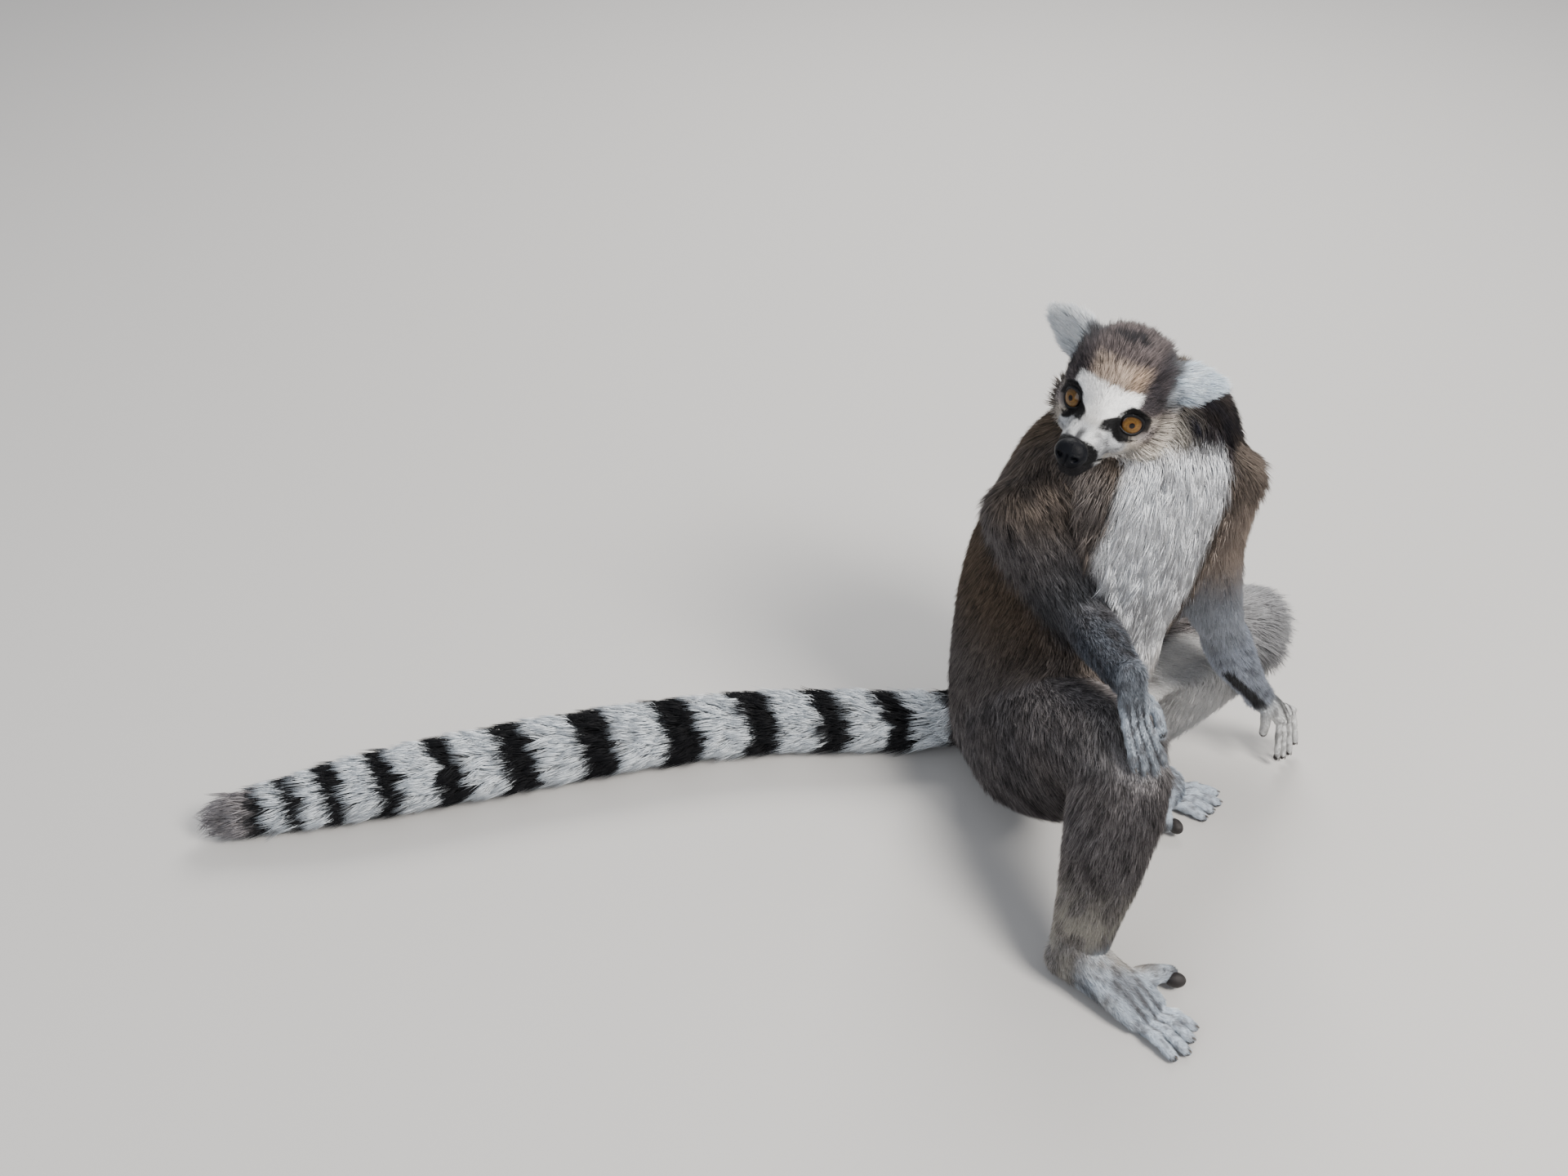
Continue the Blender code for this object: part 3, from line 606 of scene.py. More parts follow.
def loft(stations, across, steps=5, sides=16):
    """A closed form of ellipses (centre, half width, half height) along a smooth curve, with round ends."""
    rows = np.array([(*c, w, h) for c, w, h in stations])
    rows = np.concatenate((rows[:1], rows, rows[-1:]))
    fine = []
    for i in range(1, len(rows) - 2):
        b, s, e, a = rows[i - 1:i + 3]
        for t in np.arange(steps) / steps:
            fine.append(0.5 * (2 * s + (e - b) * t + (2 * b - 5 * s + 4 * e - a) * t * t
                               + (3 * s - b - 3 * e + a) * t ** 3))
    fine.append(rows[-2])
    fine = np.array(fine)
    along = unit(np.gradient(fine[:, :3], axis=0))
    rings = list(zip(fine, along))
    for end, sign in ((0, -1), (-1, 1)):
        for degrees in (25, 50, 75):
            angle = math.radians(degrees)
            row = fine[end].copy()
            row[:3] += along[end] * (sign * min(row[3], row[4]) * math.sin(angle))
            row[3:] *= math.cos(angle)
            rings.insert(0 if sign < 0 else len(rings), (row, along[end]))
    turn = 2 * math.pi * np.arange(sides) / sides
    v, t = [], []
    for row, axis in rings:
        side = unit(across - axis * (across @ axis))
        up = np.cross(axis, side)
        v.append(row[:3] + np.outer(np.cos(turn) * row[3], side) + np.outer(np.sin(turn) * row[4], up))
    last = (len(rings) - 1) * sides
    for i in range(0, last, sides):
        for k in range(sides):
            a, b = i + k, i + (k + 1) % sides
            t += [(a, b, b + sides), (a, b + sides, a + sides)]
    for k in range(1, sides - 1):
        t += [(0, k + 1, k), (last, last + k, last + k + 1)]
    return np.concatenate(v), np.array(t)


def digit(line, across, radius):
    """A finger or toe with its knuckles and rounded tip."""
    start, middle, end = line
    stations = []
    for along, wide, high in ((0, 1.05, 1), (0.22, 0.92, 0.9), (0.42, 1.08, 1.05), (0.6, 0.88, 0.88),
                              (0.78, 1.0, 0.96)):
        low = start + (middle - start) * min(along * 2, 1)
        stations.append((low + (end - middle) * max(along * 2 - 1, 0), radius * wide, radius * high))
    return loft(stations + [(end, radius * 0.92, radius * 0.8)], across, 3, 12)


def hand_forms(hand):
    """The palm, fingers, tendons and thumb of a hand."""
    wrist, reach, across, knuckles = hand.wrist, hand.reach, hand.across, hand.knuckles
    *fingers, thumb = hand.digits
    forms = [loft([(wrist - reach * 0.006, 0.0088, 0.008), (wrist + reach * 0.004, 0.0086, 0.007),
                   (wrist + reach * 0.014, 0.0092, 0.0064),
                   (knuckles - reach * 0.003, 0.0088, 0.0042)], across)]
    for line in fingers:
        forms.append(digit(line, across, 0.00255))
        tendon = wrist + (line[0] - wrist) * 0.45 + across * ((line[0] - knuckles) @ across) * 0.25
        forms.append(loft([(tendon, 0.002, 0.003), (line[0], 0.0027, 0.0028)], across, 3, 10))
    back = np.cross(across, reach)
    forms.append(loft([(thumb[0], 0.0042, 0.0042), (thumb[1], 0.0034, 0.0034), (thumb[2], 0.0034, 0.003)],
                      np.cross(back, reach) + back * 0.3, 4, 12))
    return forms


def foot_forms(foot):
    """The ankle, sole, toes, tendons and great toe of a foot."""
    reach, across, heel, ankle = foot.reach, foot.across, foot.heel, foot.ankle
    *lines, great = foot.digits
    toes = sum(line[0] for line in lines) / 4
    inward = across * np.sign(across @ foot.aside)
    forms = [loft([(ankle + unit(foot.knee - ankle) * 0.022, 0.014, 0.014), (ankle, 0.0138, 0.0138),
                   (heel + reach * 0.03 + UP * 0.006, 0.014, 0.012),
                   (heel + reach * 0.05 + UP * 0.001, 0.015, 0.009)], across),
             loft([(heel + reach * 0.0035, 0.0108, 0.0116),
                   (heel + reach * 0.026 + UP * 0.003, 0.0138, 0.0128),
                   (heel + reach * 0.052 - UP * 0.001 + inward * 0.0015, 0.0172, 0.0094),
                   (toes - reach * 0.004 + UP * 0.0006 + inward * 0.0015, 0.0168, 0.0058)], across)]
    for line in lines:
        forms.append(digit(line, across, 0.0034))
        spread = (line[0] - toes) @ across
        forms.append(loft([(toes - reach * 0.04 + across * spread * 0.45 + UP * 0.0065, 0.0032, 0.003),
                           (toes - reach * 0.018 + across * spread * 0.75 + UP * 0.0038, 0.0034, 0.0036),
                           (line[0], 0.0036, 0.0036)], across, 4, 10))
    forms.append(loft([(heel + reach * 0.02 + (great[0] - heel) * 0.25 + UP * 0.006, 0.0085, 0.0085),
                       (great[0] - foot.aside * 0.002 + UP * 0.002, 0.0125, 0.0072),
                       (great[1], 0.0074, 0.0056), (great[2], 0.0054, 0.005)], reach, 5, 14))
    return forms


def from_eyes(l, u):
    """Distance over the face from the nearer pupil."""
    return np.minimum(np.hypot(l - EYE_ASIDE, u), np.hypot(l + EYE_ASIDE, u))


def inset(nodes, shell, voxel, rounds):
    """The named solids as one surface, smoothed over and drawn in by the depth of the coat."""
    v, t = voxel_union(*joined(joined_nodes(nodes)), voxel)
    edges = edges_of(t)
    w = region_weights(v, shell)
    soft = relax(v, edges, rounds, 0.8)
    v = v + (soft - v) * relax(mixed(w, "soft")[:, None], edges, 10)
    depth = mixed(w, "depth") / 1000.0
    for sign, ear, less in ((1, "ear_l", 0.12), (-1, "ear_r", 0.04)):
        base = in_head(-27, 27 * sign, 22)
        v = v - (v - base) * (less * share(w, ear))[:, None]
    f, l, u = to_head(v).T
    on_face = (f > -30) & (np.abs(l) < 45) & (share(w, "skull", "muzzle") > 0.3)
    depth = np.where(on_face, np.minimum(depth, 0.0006 + 0.0026 * step(10, 30, from_eyes(l, u))), depth)
    depth -= 0.0036 * step(8, 24, u) * step(6, -8, f) * share(w, "skull")
    depth = relax(depth[:, None], edges, 12)[:, 0]
    return v - vertex_normals(v, t) * (depth + SWELL)[:, None], t


BODY = ("head", "neck", "trunk", "thigh_l", "thigh_r", "shank_l", "shank_r", "ear_l", "ear_r",
        "tail_1", "tail_2", "tail_3", "tail_4", "tail_5", "tail_6")
ARMS = ("neck", "trunk", "upper_arm_l", "upper_arm_r", "forearm_l", "forearm_r")
VOXEL, FINE_VOXEL, ROUNDS = ((0.0016, 0.0008, 40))
shells = [inset(BODY, BODY_SHELL, VOXEL, ROUNDS), inset(ARMS, ARM_SHELL, VOXEL, ROUNDS),
          *hand_forms(HAND_R), *hand_forms(HAND_L), *foot_forms(FOOT_R), *foot_forms(FOOT_L)]
skin_v, skin_t = voxel_union(*joined(shells), FINE_VOXEL)
skin_edges = edges_of(skin_t)
skin_v = relax(skin_v, skin_edges, 3)

# The mouth is a shallow groove from under the nose to the cheeks.
f, l, u = to_head(skin_v).T
groove = step(1.4, 0.2, np.abs(u + 24.5 + 0.1 * (20 - f))) * step(-6, 0, f)
skin_v -= vertex_normals(skin_v, skin_t) * (groove * 0.0009)[:, None]
hold_above_ground(skin_v, 0.0003)


def gaze(side):
    return HEAD_F * math.cos(GAZE) + HEAD_L * (side * math.sin(GAZE))


def eye_centre(side):
    return PUPILS + HEAD_L * (side * EYE_ASIDE / 1000.0) - gaze(side) * EYE_R


def round_eye(points, side):
    """Direction and distance of each point from an eye's centre, and its angle from the gaze."""
    rel = points - eye_centre(side)
    toward = unit(rel)
    return toward, np.linalg.norm(rel, axis=1), np.arccos(np.clip((toward * gaze(side)).sum(1), -1, 1))


# The skin sinks behind each eye's opening, and stands just off the ball round it.
OPEN, EDGE, SINK, STAND = 0.9, 1.02, 0.9, 1.1
for side in (1, -1):
    toward, dist, angle = round_eye(skin_v, side)
    inside = (angle < EDGE) & (dist < EYE_R * 1.6)
    target = np.where(angle < OPEN, EYE_R * SINK, EYE_R * SINK + (EYE_R * 0.22) * (angle - OPEN) / 0.12)
    skin_v[inside] = (eye_centre(side) + toward * np.minimum(dist, target)[:, None])[inside]
    rim = (angle >= EDGE) & (angle < 1.9) & (dist < EYE_R * STAND)
    skin_v[rim] = (eye_centre(side) + toward * (EYE_R * STAND))[rim]

skin_n = vertex_normals(skin_v, skin_t)
skin_w = region_weights(skin_v)
fleshy = mixed(skin_w, "soft")[:, None]
skin_w += (relax(skin_w, skin_edges, 12, 0.7) - skin_w) * np.clip(fleshy * 1.5, 0, 1)
skin_w /= skin_w.sum(1, keepdims=True)

# ---- lie of the coat
flow = mixed(skin_w, "flow")
head_part = share(skin_w, "skull", "muzzle")[:, None]
from_nose = unit(skin_v - in_head(46, 0, -16)) + 0.25 * unit(skin_v - in_head(-10, 0, 60)) * (
    to_head(skin_v)[:, 2:3] < 0)
flow = flow * (1 - head_part) + from_nose * head_part
flow -= (flow * skin_n).sum(1, keepdims=True) * skin_n
flow = relax(unit(flow), skin_edges, 25, 0.6)
flow = unit(flow - (flow * skin_n).sum(1, keepdims=True) * skin_n)


# ---- materials
def fill_inputs(node, values):
    for key, value in values.items():
        node.inputs[key.replace("_", " ")].default_value = value


def principled(name, **values):
    material = bpy.data.materials.new(name)
    material.use_nodes = True
    shader = material.node_tree.nodes["Principled BSDF"]
    fill_inputs(shader, values)
    return material, material.node_tree, shader


def coat_material(name, roughness, grain, variation, bump, gloss=0.2, **more):
    """Colour from the markings with a fine grain over it."""
    material, tree, shader = principled(name, Roughness=roughness, Specular_IOR_Level=gloss, **more)

    def node(kind, **values):
        made = tree.nodes.new("ShaderNode" + kind)
        fill_inputs(made, values)
        return made

    colour, mix = node("Attribute"), node("Mix")
    colour.attribute_name = "marks"
    mix.data_type = "RGBA"
    mix.blend_type = "MULTIPLY"
    mix.inputs["Factor"].default_value = 1.0
    speckle = node("TexNoise", Scale=grain, Detail=3.0)
    ramp = node("MapRange", To_Min=1.0 - variation, To_Max=1.0 + variation)
    raised = node("Bump", Strength=bump, Distance=0.0004)
    for giver, output, taker, entry in (
            (node("TexCoord"), "Object", speckle, "Vector"), (speckle, "Fac", ramp, "Value"),
            (colour, "Color", mix, "A"), (ramp, "Result", mix, "B"), (mix, "Result", shader, "Base Color"),
            (speckle, "Fac", raised, "Height"), (raised, "Normal", shader, "Normal")):
        tree.links.new(giver.outputs[output], taker.inputs[entry])
    return material


SKIN_LOOK = coat_material("skin", 0.65, 1400.0, 0.3, 0.5)
COAT_LOOK = coat_material("coat", 0.75, 700.0, 0.2, 0.1)


def piece_from(name, mesh, material, colours):
    """A mesh as a piece of the animal, in one colour or with a colour for each vertex."""
    layer = mesh.color_attributes.new("marks", "FLOAT_COLOR", "POINT")
    rgba = np.ones((len(mesh.vertices), 4), np.float32)
    rgba[:, :3] = np.clip(colours, 0, 1)
    layer.data.foreach_set("color", rgba.ravel())
    mesh.materials.append(material)
    made = linked(name, mesh)
    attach(made, "root")
    return made


# ---- the skin as a piece
LIMIT = 190000
show_v, show_t = modified(skin_v, skin_t, "DECIMATE", ratio=min(1.0, LIMIT / len(skin_t)))
show_w = region_weights(show_v)
# The skin is painted darker than the coat over it, most on the ears, as shade deep between the tufts.
skin_colours = marks(show_v, show_w) * (0.8 - 0.3 * share(show_w, "ear"))[:, None]
skin = piece_from("skin", triangles_mesh(show_v, show_t), SKIN_LOOK, skin_colours)
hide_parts("hand_l", "hand_r", "foot_l", "foot_r", *sorted(set(BODY) | set(ARMS)))


# ---- coat
DENSITY = 1.0


def sample_roots():
    """Places for tufts over the skin, denser where a region's coat is finer."""
    a, b, c = (skin_v[skin_t[:, k]] for k in range(3))
    area = np.linalg.norm(np.cross(b - a, c - a), axis=1) / 2 * 1e6
    density = mixed(skin_w, "density")[skin_t].mean(1)
    centre = (a + b + c) / 3
    under = step(0.004, 0.0015, centre[:, 2])
    cumulative = np.cumsum(area * density * (1 - under) * DENSITY)
    count = int(cumulative[-1])
    picks = np.searchsorted(cumulative, (np.arange(count) + RNG.random(count)) / count * cumulative[-1])
    picks = np.minimum(picks, len(area) - 1)
    r1, r2 = np.sqrt(RNG.random(count)), RNG.random(count)
    bary = np.stack((1 - r1, r1 * (1 - r2), r1 * r2), 1)
    corners = skin_t[picks]

    def interpolated(values):
        return (values[corners] * bary[..., None]).sum(1)
    return interpolated(skin_v), unit(interpolated(skin_n)), unit(interpolated(flow)), interpolated(skin_w)


roots, normals, lies, weights = sample_roots()
NOSE_CENTRE, NOSE_CLEARED = (34.5, 0, -16.5), (8.5, 9.8, 8.2)
f, l, u = to_head(roots).T
keep = away((np.stack((f, l, u), 1) - NOSE_CENTRE) / NOSE_CLEARED, 0) > 1.0
for sign in (1, -1):
    _, dist, angle = round_eye(roots, sign)
    keep &= ~((angle < 1.12) & (dist < 0.0125))
roots, normals, lies, weights, f, l, u = (x[keep] for x in (roots, normals, lies, weights, f, l, u))
count = len(roots)
chief = weights.argmax(1)
length, width = mixed(weights, "length") / 1000.0, mixed(weights, "width") / 1000.0
lift, droop = weights @ np.radians(of_regions("lift")), mixed(weights, "droop")

# The coat is shortest on the face, stands out as a ruff on the cheeks, and hangs long on the breast.
on_head = share(weights, "skull", "muzzle")
face_length = 0.002 + 0.0085 * step(11, 32, from_eyes(l, u))
ruff = step(24, 32, np.abs(l)) * step(6, -4, u) * step(-4, -14, f)
length = np.where(on_head > 0.5, np.minimum(length, face_length) * (1 + 0.22 * ruff), length)
crown = step(30, 38, u) * on_head
shoulder_of_crown = step(15, 7, away(np.stack((f, np.abs(l), u), 1), (-24, 21, 33))) * on_head
side_of_crown = step(13, 21, np.abs(l)) * step(36, 27, u) * step(5, 13, u) * step(-2, -12, f) * on_head
for place, longer, steeper in ((crown, 0, 0.22), (shoulder_of_crown, 0.2, 0.1),
                               (side_of_crown, 0.45, 0.3)):
    length *= 1 + longer * place
    lift += steeper * place
ahead, _ = from_spine(roots)
breast = share(weights, "spine", "neck") * step(0.02, 0.05, ahead) * step(0.1, 0.17, roots[:, 2])
length *= 1 + 0.9 * breast
lift *= 1 - 0.1 * breast
fluffy = near_point(roots, KNEE_L + (0.022, 0.0, -0.012), 0.062) * share(weights, "thigh_l", "shank_l")
length *= 1 + 0.35 * fluffy
lift += 0.22 * fluffy

# Under the resting hand the coat is pressed flat.
resting = line_distance(roots, WRIST_R, HAND_R.knuckles) - 0.006
for start, _, end in HAND_R.digits:
    resting = np.minimum(resting, line_distance(roots, start, end))
pressed = np.where(share(weights, "thigh", "shank") > 0.5, step(0.02, 0.01, resting), 0.0)
length *= 1 - 0.5 * pressed
lift *= 1 - 0.55 * pressed

# Tufts gather into locks round a few of their number.
leaders = RNG.permutation(count)[:max(count // 10, 1)]
tree = KDTree(len(leaders))
for k, i in enumerate(leaders):
    tree.insert(roots[i], k)
tree.balance()
leader = np.array([leaders[tree.find(p)[1]] for p in roots])


def leaning(rise):
    """The way a tuft points when it rises by an angle from its lie."""
    return lies * np.cos(rise)[:, None] + normals * np.sin(rise)[:, None]


long_coat = step(0.004, 0.012, length)
length = length * (RNG.uniform(0.7, 1.15, count) + 0.12 * RNG.normal(0, 1, count)[leader] * long_coat)
side = np.cross(normals, lies)
swing = RNG.normal(0, 0.13, count) + RNG.normal(0, 0.16, count)[leader]
lies = unit(lies + side * swing[:, None])
side = np.cross(normals, lies)
rise = lift * RNG.uniform(0.75, 1.3, count)
middles = roots + leaning(rise * 1.35) * (length * 0.45)[:, None]
tips = middles + unit(leaning(rise * 0.5) - UP * droop[:, None]) * (length * 0.6)[:, None]
gather = ((0.22 + 0.25 * np.maximum(breast, share(weights, "tail"))) * long_coat)[:, None]
middles += (roots[leader] - roots) * gather * 0.45
tips += (tips[leader] - tips) * gather
hold_above_ground(middles, 0.0008)
hold_above_ground(tips, 0.0005)

colours = marks(roots + (tips - roots) * 0.6, weights)
agouti = share(weights, "spine", "thigh", "shank", "upper_arm", "neck", "skull", "forearm")
agouti *= step(0.4, 0.22, colours.mean(1))
# less dark ticking on the left upper arm, so that it is painted paler, as sunlit
agouti *= 1 - 0.6 * share(weights, "upper_arm_l")
short_haired = share(weights, "ear", "hand", "foot", "forearm_l")
tone = (1 + (RNG.random(count) - 0.5) * (0.26 + 0.66 * agouti + 0.46 * short_haired)
        + RNG.normal(0, 1, count)[leader] * (0.04 + 0.09 * agouti + 0.09 * short_haired))
colours = colours * np.clip(tone, 0.3, 1.7)[:, None]
# Each tuft is painted darker at its root, as shade deep in the coat, and darker still where the hair is
# banded; its tip is lighter, or dark where ticked.
ticked = RNG.random(count) < 0.35 * agouti
tip_shade = np.where(ticked, 0.35, 1.2 + 0.35 * agouti)
root_band_and_painted_shade = 0.62 - 0.3 * agouti - 0.2 * short_haired

piece_names = of_regions("piece").astype(object)[chief]
piece_names[(piece_names == "coat_back") & (ahead > 0)] = "coat_front"


def unwrap(points, chief):
    """A place for each root on an unwrap of the body: one strip for each region, round it and along it."""
    kinds = sorted(set(chief))
    cells = math.ceil(math.sqrt(len(kinds)))
    uv = np.zeros((len(points), 2))
    for k, kind in enumerate(kinds):
        mine = chief == kind
        d = ENDS[kind] - STARTS[kind]
        rel = points[mine] - STARTS[kind]
        t = np.clip((rel @ d / (d @ d) + 0.35) / 1.7, 0, 1)
        ref = unit(np.cross(d, UP if abs(unit(d)[2]) < 0.9 else HEAD_L))
        turn = np.arctan2(rel @ np.cross(unit(d), ref), rel @ ref) / (2 * math.pi) + 0.5
        cell = np.array((k % cells, k // cells))
        uv[mine] = (cell + 0.02 + 0.95 * np.stack((turn, t), 1)) / cells
    return uv


# Long tufts on tail and breast bend once. Each kind: its faces' corners and sizes, and its patch of the map.
BENT_TUFT = (np.array((0, 1, 4, 3, 1, 2, 5, 4, 2, 0, 3, 5, 3, 4, 6, 4, 5, 6, 5, 3, 6)), (4, 4, 4, 3, 3, 3),
             np.array(((0, 0), (0.5, 0), (1, 0), (0.2, 0.5), (0.5, 0.5), (0.8, 0.5), (0.5, 1.0))))
SPIKE = (np.array((0, 1, 3, 1, 2, 3, 2, 0, 3)), (3, 3, 3), np.array(((0, 0), (0.5, 0), (1, 0), (0.5, 1.0))))
PATCH = 0.003
bent = ((share(weights, "tail") > 0.5) | (breast > 0.3)) & (length > 0.007)
root_uv = unwrap(roots, chief)


def build_coat(name, mine):
    """One piece of the coat: each tuft is a three-sided spike, open at the skin, straight or bent once."""
    verts, colour, corners, sizes, uvs, base = [], [], [], [], [], 0
    for long_ones, (pattern, faces, local) in ((True, BENT_TUFT), (False, SPIKE)):
        k = mine[bent[mine] == long_ones]
        if not len(k):
            continue
        rows, shades = [], []
        levels = ((roots[k], 0.55, 0.0004, root_band_and_painted_shade[k]), (middles[k], 0.42, 0.0, np.ones(len(k))))
        for centre, size, sink, shade in levels[:2 if long_ones else 1]:
            for turn in 2 * math.pi / 3 * np.arange(3):
                across = side[k] * math.sin(turn) * 1.2 + normals[k] * math.cos(turn) * 0.7
                rows.append(centre + across * width[k][:, None] * size - normals[k] * sink)
                shades.append(shade)
        rows.append(tips[k])
        shades.append(tip_shade[k])
        v = np.stack(rows, 1)
        hold_above_ground(v, 0.0002)
        verts.append(v.reshape(-1, 3))
        colour.append((colours[k][:, None, :] * np.stack(shades, 1)[..., None]).reshape(-1, 3))
        corners.append((base + np.arange(len(k))[:, None] * len(rows) + pattern).ravel())
        sizes.append(np.tile(faces, len(k)))
        uvs.append((root_uv[k][:, None, :] + local[pattern][None] * PATCH).reshape(-1, 2))
        base += len(k) * len(rows)
    mesh = mesh_from(np.concatenate(verts), np.concatenate(corners), np.concatenate(sizes))
    layer = mesh.uv_layers.new(name="OFBake")
    layer.data.foreach_set("uv", np.concatenate(uvs).astype(np.float32).ravel())
    piece_from(name, mesh, COAT_LOOK, np.concatenate(colour))


triangles = np.where(bent, 9, 3)
for name in sorted(set(piece_names)):
    mine = np.flatnonzero(piece_names == name)
    mine = mine[np.argsort((roots[mine] @ (1.0, 0.0, 0.6)), kind="stable")]
    parts = math.ceil(triangles[mine].sum() / LIMIT)
    share_of = np.cumsum(triangles[mine]) / (triangles[mine].sum() + 1) * parts
    for k in range(parts):
        build_coat(name if parts == 1 else f"{name}_{k + 1}", mine[share_of.astype(int) == k])


# ---- eyes
def turned(centre, axes, profile, rings, turns):
    """A closed form turned about the last of three axes; profile gives its reach across and along."""
    v, steps = [], []
    for i in range(rings + 1):
        a = math.pi * i / rings
        across, along = profile(a)
        for k in range(1 if i in (0, rings) else turns):
            b = 2 * math.pi * k / turns
            v.append(centre + (axes[0] * math.cos(b) + axes[1] * math.sin(b)) * across + axes[2] * along)
            steps.append((a, b))
    faces = [(0, 1 + k, 1 + (k + 1) % turns) for k in range(turns)]
    for i in range(rings - 2):
        for k in range(turns):
            a, b = 1 + i * turns + k, 1 + i * turns + (k + 1) % turns
            faces.append((a, a + turns, b + turns, b))
    last, base = len(v) - 1, 1 + (rings - 2) * turns
    faces += [(last, base + (k + 1) % turns, base + k) for k in range(turns)]
    return np.array(v), faces, np.array(steps)


def unit_ball(rings, turns):
    v, faces, _ = turned(np.zeros(3), np.eye(3), lambda a: (math.sin(a), math.cos(a)), rings, turns)
    return v, faces


def faced(v, faces):
    return mesh_from(v, [i for face in faces for i in face], [len(face) for face in faces])


EYE_LOOK = coat_material("eye", 0.1, 2500.0, 0.12, 0.0, Coat_Weight=0.22, Coat_Roughness=0.02)
LID_LOOK = coat_material("lids", 0.4, 1800.0, 0.25, 0.6)
NOSE_LOOK = coat_material("nose", 0.36, 2200.0, 0.25, 0.7, 0.1)
PAD_LOOK = coat_material("pads", 0.45, 2400.0, 0.35, 0.9, 0.4)
NAIL_LOOK = coat_material("nails", 0.35, 900.0, 0.25, 0.2, 0.5)
AMBER, INNER_AMBER, OUTER_AMBER = (0.128, 0.064, 0.013), (0.12, 0.04, 0.008), (0.07, 0.028, 0.006)
PUPIL_BLACK, EYE_RIM = (0.001, 0.001, 0.001), (0.01, 0.007, 0.005)
PAD_BLACK, NAIL_BROWN = (0.012, 0.009, 0.009), (0.05, 0.042, 0.036)
IRIS, PUPIL_SHARE, BULGE = 0.78, 0.31, 0.0013
LID_TURNS, LID_ROWS, LID_THICKNESS = 72, 9, 0.0005


def eye_profile(a):
    rim, flat = EYE_R * math.sin(IRIS), EYE_R * math.cos(IRIS)
    if a < IRIS:
        return rim * a / IRIS, flat + BULGE * (1 - (a / IRIS) ** 2)
    return EYE_R * math.sin(a), EYE_R * math.cos(a)


def eye_colours(steps):
    """A streaked amber iris, shaded from above, round a black pupil."""
    out, spin = steps[:, 0] / IRIS, steps[:, 1]
    streak = 0.5 + 0.25 * np.sin(spin * 37 + 3 * np.sin(spin * 5)) + 0.25 * np.sin(spin * 61 + out * 16)
    iris = over(np.array(AMBER) * (0.65 + 0.55 * streak)[:, None],
                (INNER_AMBER, step(0.44, 0.3, out) * 0.8), (OUTER_AMBER, step(0.72, 0.98, out) * 0.9))
    iris *= (0.55 + 0.45 * step(0.9, -0.2, out * np.sin(spin)))[:, None]
    return over(iris, (PUPIL_BLACK, step(PUPIL_SHARE + 0.03, PUPIL_SHARE - 0.03, out)),
                (EYE_RIM, step(0.97, 1.03, out)))


for name, sign in (("eye_l", 1), ("eye_r", -1)):
    ahead_axis = gaze(sign)
    across = unit(np.cross(HEAD_U, ahead_axis))
    axes = (across, np.cross(ahead_axis, across), ahead_axis)
    centre = eye_centre(sign) + ahead_axis * 0.0009
    v, faces, steps = turned(centre, axes, eye_profile, 72, 64)
    ball = piece_from(name + "_ball", faced(v, faces), EYE_LOOK, eye_colours(steps))
    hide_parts(name)

    # lids: a rim on the ball with an almond opening, its inner corner drawn towards the nose
    lid, faces = [], []
    for k in range(LID_TURNS):
        b = 2 * math.pi * k / LID_TURNS
        cb, sb = math.cos(b), math.sin(b)
        opening = 1 / math.hypot(cb / 0.86, sb / (0.7 if sb > 0 else 0.68))
        opening += 0.16 * abs(cb) ** 8 * (1 if cb * sign < 0 else 0.35)
        n = (k + 1) % LID_TURNS
        for i in range(LID_ROWS):
            if i < 2:
                a, r = opening + 0.02 * (1 - i), (0.93, 1.04)[i]
            else:
                a = opening + 0.07 * (i - 1) ** 1.22
                r = 1.09 + 0.06 * math.sin(min(1.0, (i - 1) / 4) * math.pi / 2) - 0.03 * max(0, i - 5)
            a = min(a, 1.9)
            outward = (axes[0] * cb + axes[1] * sb) * math.sin(a) + ahead_axis * math.cos(a)
            lid.append(centre + outward * EYE_R * r)
            if i > 0:
                here, there = k * LID_ROWS + i, n * LID_ROWS + i
                faces.append((here - 1, here, there, there - 1))
    lids = piece_from(name + "_lids", faced(lid, faces), LID_LOOK, head_marks(np.array(lid)))
    solid = lids.modifiers.new("thickness", "SOLIDIFY")
    solid.thickness = LID_THICKNESS
    solid.offset = -1.0

# ---- nose
v, faces = unit_ball(56, 72)
x, y, z = v.T
shape = np.stack((x * 10.2 * (1 - 0.16 * np.maximum(-y, 0)), y * 9.2, z * 7.2), 1)
for sign in (1, -1):
    hole = np.hypot((x - sign * 0.46) / 0.2, (y + 0.08 - 0.25 * np.abs(x - sign * 0.46)) / 0.17)
    shape[:, 2] -= 2.4 * step(1.25, 0.35, hole) * (z > 0)
    shape += v * (0.35 * np.exp(-((hole - 1.55) / 0.35) ** 2) * (z > 0))[:, None]
shape[:, 2] -= 0.9 * np.exp(-(x / 0.06) ** 2) * (y < 0.15) * (z > 0)
nose_v = in_head(34.0, 0, -18.2) + (shape @ np.stack((HEAD_L, HEAD_U, HEAD_F))) / 1000.0
nose = piece_from("nose_leather", faced(nose_v, faces), NOSE_LOOK, BLACK * (0.5, 0.6, 0.8))
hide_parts("nose")


# ---- pads and nails
def gathered(name, parts, material, colour):
    """Several small forms as one piece, held just above the ground."""
    vs, faces, count = [], [], 0
    for v, f in parts:
        vs.append(v)
        faces.extend(tuple(i + count for i in face) for face in f)
        count += len(v)
    v = np.concatenate(vs)
    hold_above_ground(v, 0.0003)
    piece_from(name, faced(v, faces), material, colour)


def lump(centre, reach, across, shaped, rings=12, turns=16):
    """A small closed form: a unit ball shaped into millimetres across, upward and along its reach."""
    axes = np.stack((across, np.cross(reach, across), reach))
    v, faces = unit_ball(rings, turns)
    return centre + shaped(v) @ axes / 1000.0, faces


def pad(centre, reach, across, sizes):
    return lump(centre, reach, across, lambda v: v * sizes)


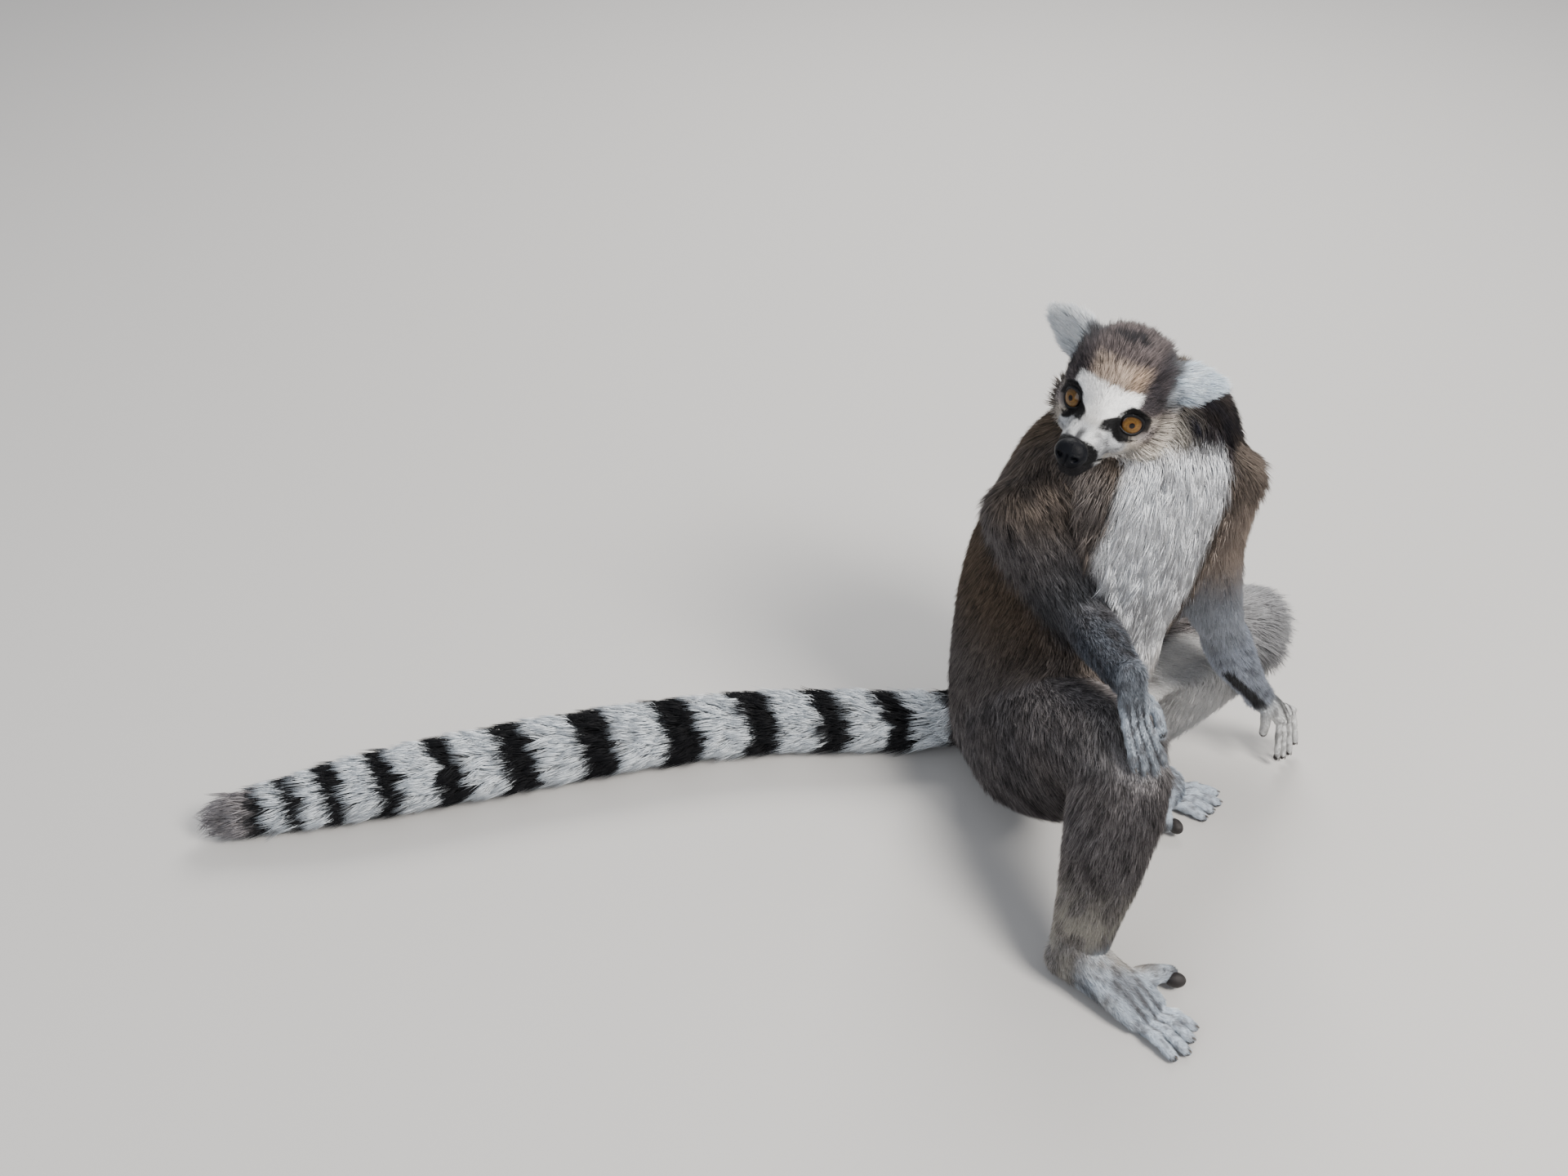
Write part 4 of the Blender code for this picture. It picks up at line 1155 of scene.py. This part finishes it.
def nail(tip, reach, across, size):
    """A narrow curved nail over a digit's end."""
    def curved(v):
        x, y, z = v.T
        return np.stack((x * 1.15, y * 0.55 + 0.4 - 0.8 * np.maximum(z, 0) ** 2, z * 2.6), 1) * size
    return lump(tip, reach, across, curved, 10, 12)


THUMB = 4
pads, nails = [], []
for hand, across in ((HAND_R, HAND_R.across), (HAND_L, -HAND_L.across)):
    for k, (_, middle, end) in enumerate(hand.digits):
        reach = unit(end - middle)
        side_on = unit(across - reach * (across @ reach))
        if k == THUMB:
            pads.append(pad(end + reach * 0.0012, reach, side_on, (2.9, 2.7, 3.1)))
            continue
        top = np.cross(reach, side_on)
        top = top if top[1] < 0 or top[2] > 0.3 else -top
        pads.append(pad(end + reach * 0.0012 - top * 0.0008, reach, side_on, (2.2, 2.0, 2.6)))
        nails.append(nail(end + reach * 0.0024 + top * 0.0012, reach, np.cross(top, reach), 0.75))
for foot in (FOOT_R, FOOT_L):
    *lines, great = foot.digits
    for _, middle, end in lines:
        heading = unit((end - middle) * (1, 1, 0))
        side_on = np.cross(UP, heading)
        nails.append(nail(end + heading * 0.0026 + UP * 0.0013, heading, side_on, 0.72))
        pads.append(pad(end + heading * 0.0006 - UP * 0.0012, heading, side_on, (2.7, 1.9, 3.0)))
    end = great[2] + foot.reach * 0.006 - foot.aside * 0.001 - UP * 0.001
    pads.append(pad(end, foot.aside, foot.reach, (5.6, 5.6, 5.6)))
gathered("pads", pads, PAD_LOOK, PAD_BLACK)
gathered("nails", nails, NAIL_LOOK, NAIL_BROWN)

# ---- floor, light
FLOOR = np.array(((-5, -5, 0), (5, -5, 0), (5, 5, 0), (-5, 5, 0)), float)
floor = linked("floor", mesh_from(FLOOR, (0, 1, 2, 3), (4,)))
floor.data.materials.append(principled("floor", Roughness=0.8, Base_Color=(0.44, 0.43, 0.42, 1.0))[0])

world = bpy.data.worlds.new("studio")
world.use_nodes = True
fill_inputs(world.node_tree.nodes["Background"], {"Color": (0.9, 0.93, 1.0, 1.0), "Strength": 0.6})
bpy.context.scene.world = world


def area_light(name, place, aim, power, size, colour):
    data = bpy.data.lights.new(name, "AREA")
    data.energy, data.size, data.color = power, size, colour
    made = linked(name, data)
    made.location = place
    made.rotation_euler = (Vector(aim) - Vector(place)).to_track_quat("-Z", "Y").to_euler()


area_light("key", (1.3, -1.1, 1.9), (0.1, 0.0, 0.15), 110.0, 0.8, (1.0, 0.96, 0.9))
area_light("fill", (-1.6, -1.2, 1.3), (0.0, 0.0, 0.15), 22.0, 1.6, (0.9, 0.95, 1.0))
area_light("rim", (0.4, 1.7, 1.7), (0.1, 0.0, 0.2), 52.0, 1.0, (1.0, 0.98, 0.94))
